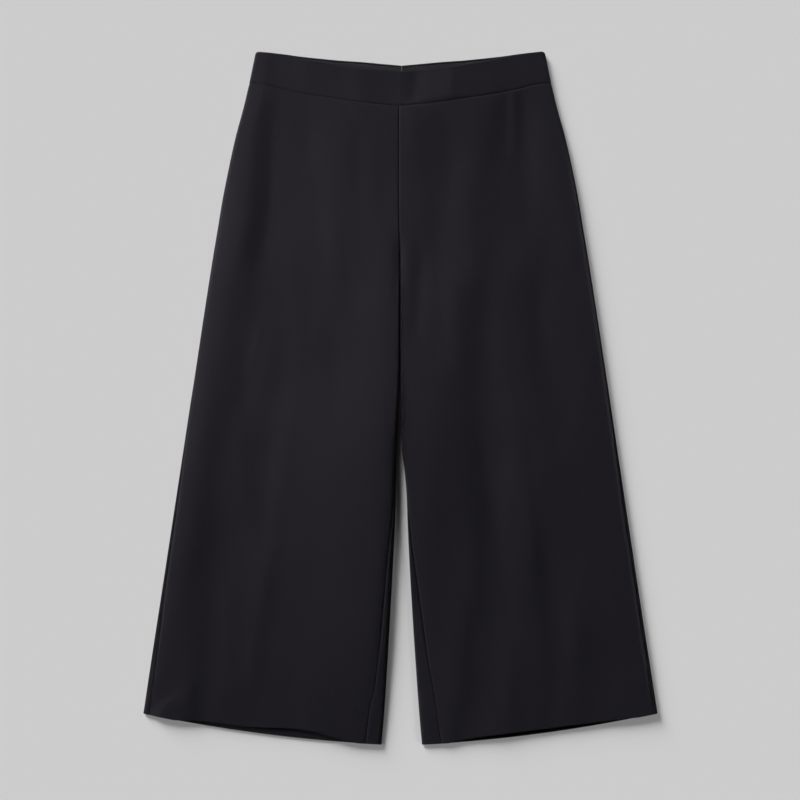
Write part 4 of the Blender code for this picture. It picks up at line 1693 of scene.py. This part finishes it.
class Studio:
    """Ground, light and camera."""

    def __init__(self, sizes: StudioSizes) -> None:
        """Keeps the places and the strengths."""
        self.sizes = sizes

    def build(self, pieces: list[bpy.types.Object]) -> None:
        """Makes the ground, the lights and the camera.

        Args:
            pieces: the pieces of the garment.
        """
        ground = self.make_ground()
        lit = {FallsOn.CLOTH: pieces, FallsOn.GROUND: [ground]}
        for sizes in LIGHTS:
            light = self.make_sun(sizes) if isinstance(sizes, SunSizes) else self.make_lamp(sizes)
            if sizes.falls_on in lit:
                receivers = gathered(f"lit_by_{light.name}", lit[sizes.falls_on])
                light.light_linking.receiver_collection = receivers
            if sizes.stopped_by is not None:
                leg = [piece for piece in pieces if f"leg_{sizes.stopped_by.word}" in piece.name]
                light.light_linking.blocker_collection = gathered(f"stops_{light.name}", leg)
        self.make_sky()
        self.make_camera()
        view = bpy.context.scene.view_settings
        view.view_transform = "Standard"
        view.look = "None"
        LOG.info("studio: camera %.2f m up", self.sizes.height)

    def make_ground(self) -> bpy.types.Object:
        """A wide plain surface just under the garment.

        Returns:
            The surface.
        """
        half, level = self.sizes.ground / 2, -self.sizes.ground_below
        mesh = bpy.data.meshes.new("ground")
        signs = ((-1, -1), (1, -1), (1, 1), (-1, 1))
        mesh.from_pydata([(half * x, half * y, level) for x, y in signs], [], [(0, 1, 2, 3)])
        mesh.materials.append(plain_material(GROUND))
        ground = bpy.data.objects.new("ground", mesh)
        bpy.context.scene.collection.objects.link(ground)
        return ground

    def make_sun(self, sizes: SunSizes) -> bpy.types.Object:
        """A far light.

        Args:
            sizes: its direction, its spread and its strength.

        Returns:
            The light.
        """
        data = bpy.data.lights.new(sizes.name, "SUN")
        data.energy = sizes.strength
        data.angle = math.radians(sizes.spread)
        azimuth, elevation = math.radians(sizes.azimuth), math.radians(sizes.elevation)
        flat = math.cos(elevation)
        source = Vector((-math.sin(azimuth) * flat, math.cos(azimuth) * flat, math.sin(elevation)))
        sun = bpy.data.objects.new(sizes.name, data)
        sun.rotation_mode = "QUATERNION"
        sun.rotation_quaternion = source.to_track_quat("Z", "Y")
        bpy.context.scene.collection.objects.link(sun)
        return sun

    def make_lamp(self, sizes: LampSizes) -> bpy.types.Object:
        """A lamp near the garment.

        Args:
            sizes: its place, size and power.

        Returns:
            The light.
        """
        data = bpy.data.lights.new(sizes.name, "POINT")
        data.energy = sizes.power
        data.shadow_soft_size = sizes.radius
        lamp = bpy.data.objects.new(sizes.name, data)
        lamp.location = sizes.place
        bpy.context.scene.collection.objects.link(lamp)
        return lamp

    def make_sky(self) -> None:
        """A faint even light from all round."""
        world = bpy.data.worlds.new("sky")
        world.use_nodes = True
        background = world.node_tree.nodes["Background"]
        background.inputs["Color"].default_value = (1.0, 1.0, 1.0, 1.0)
        background.inputs["Strength"].default_value = self.sizes.sky
        bpy.context.scene.world = world

    def make_camera(self) -> None:
        """A camera straight above the garment."""
        data = bpy.data.cameras.new("camera")
        data.lens = self.sizes.lens
        data.sensor_width = self.sizes.sensor
        camera = bpy.data.objects.new("camera", data)
        camera.location = (self.sizes.camera_x, self.sizes.camera_y, self.sizes.height)
        bpy.context.scene.collection.objects.link(camera)
        bpy.context.scene.camera = camera


@dataclass(frozen=True)
class SheetCut:
    """What a piece was cut from, in metres and square metres, and what it lies on."""

    flat: tuple[float, float]
    area: float
    rests_on: tuple[str, ...]


class Culottes:
    """The whole garment."""

    def __init__(self) -> None:
        """Makes the shared surface and the materials."""
        tube = PressedTube(Pattern(), RollSizes(), LyingSizes(), ClothSizes())
        self.legs = LegPanels(tube, EdgeSizes(), GridSizes())
        self.band = Waistband(tube, EdgeSizes(), GridSizes())
        weave, clouds = weave_group(), cloud_group()
        self.suiting = cloth_material(SUITING, weave, clouds)
        self.facing = cloth_material(FACING, weave, clouds)
        self.tape = cloth_material(TAPE, weave, clouds)
        self.pull = plain_material(PULL)

    def build(self) -> list[bpy.types.Object]:
        """Builds each piece, hangs it on the root and hides the solid that it stands in for.

        Returns:
            Everything that is shown.
        """
        pieces: dict[str, tuple[bpy.types.Object, str]] = {}
        for side in Side:
            for name, piece in self.legs.build(side, self.suiting).items():
                pieces[name] = (piece, SUITING.name)
            pieces[f"back_waistband_{side.word}"] = (self.band.back(side, self.suiting), SUITING.name)
            pieces[f"back_facing_{side.word}"] = (self.band.facing(side, self.facing), FACING.name)
        pieces["front_waistband"] = (self.band.front(self.suiting), SUITING.name)
        for node, (piece, slot) in pieces.items():
            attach(piece, "root")
            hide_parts(node)
        solids = [
            self.dress_solid("back_zip", self.tape),
            self.dress_solid("zip_slider", self.pull),
        ]
        return [piece for piece, _ in pieces.values()] + solids

    def dress_solid(self, node: str, material: bpy.types.Material) -> bpy.types.Object:
        """Gives a solid that stays as it is its material.

        Args:
            node: name of the solid.
            material: what it is made of.

        Returns:
            The solid.
        """
        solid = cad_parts[node]
        solid.data.materials.clear()
        solid.data.materials.append(material)
        LOG.info("%s: the solid itself", node)
        return solid


def main() -> None:
    """Builds the scene."""
    logging.basicConfig(level=logging.INFO, format="%(message)s")
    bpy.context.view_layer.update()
    pieces = Culottes().build()
    Studio(StudioSizes()).build(pieces)


if __name__ == "__main__":
    main()
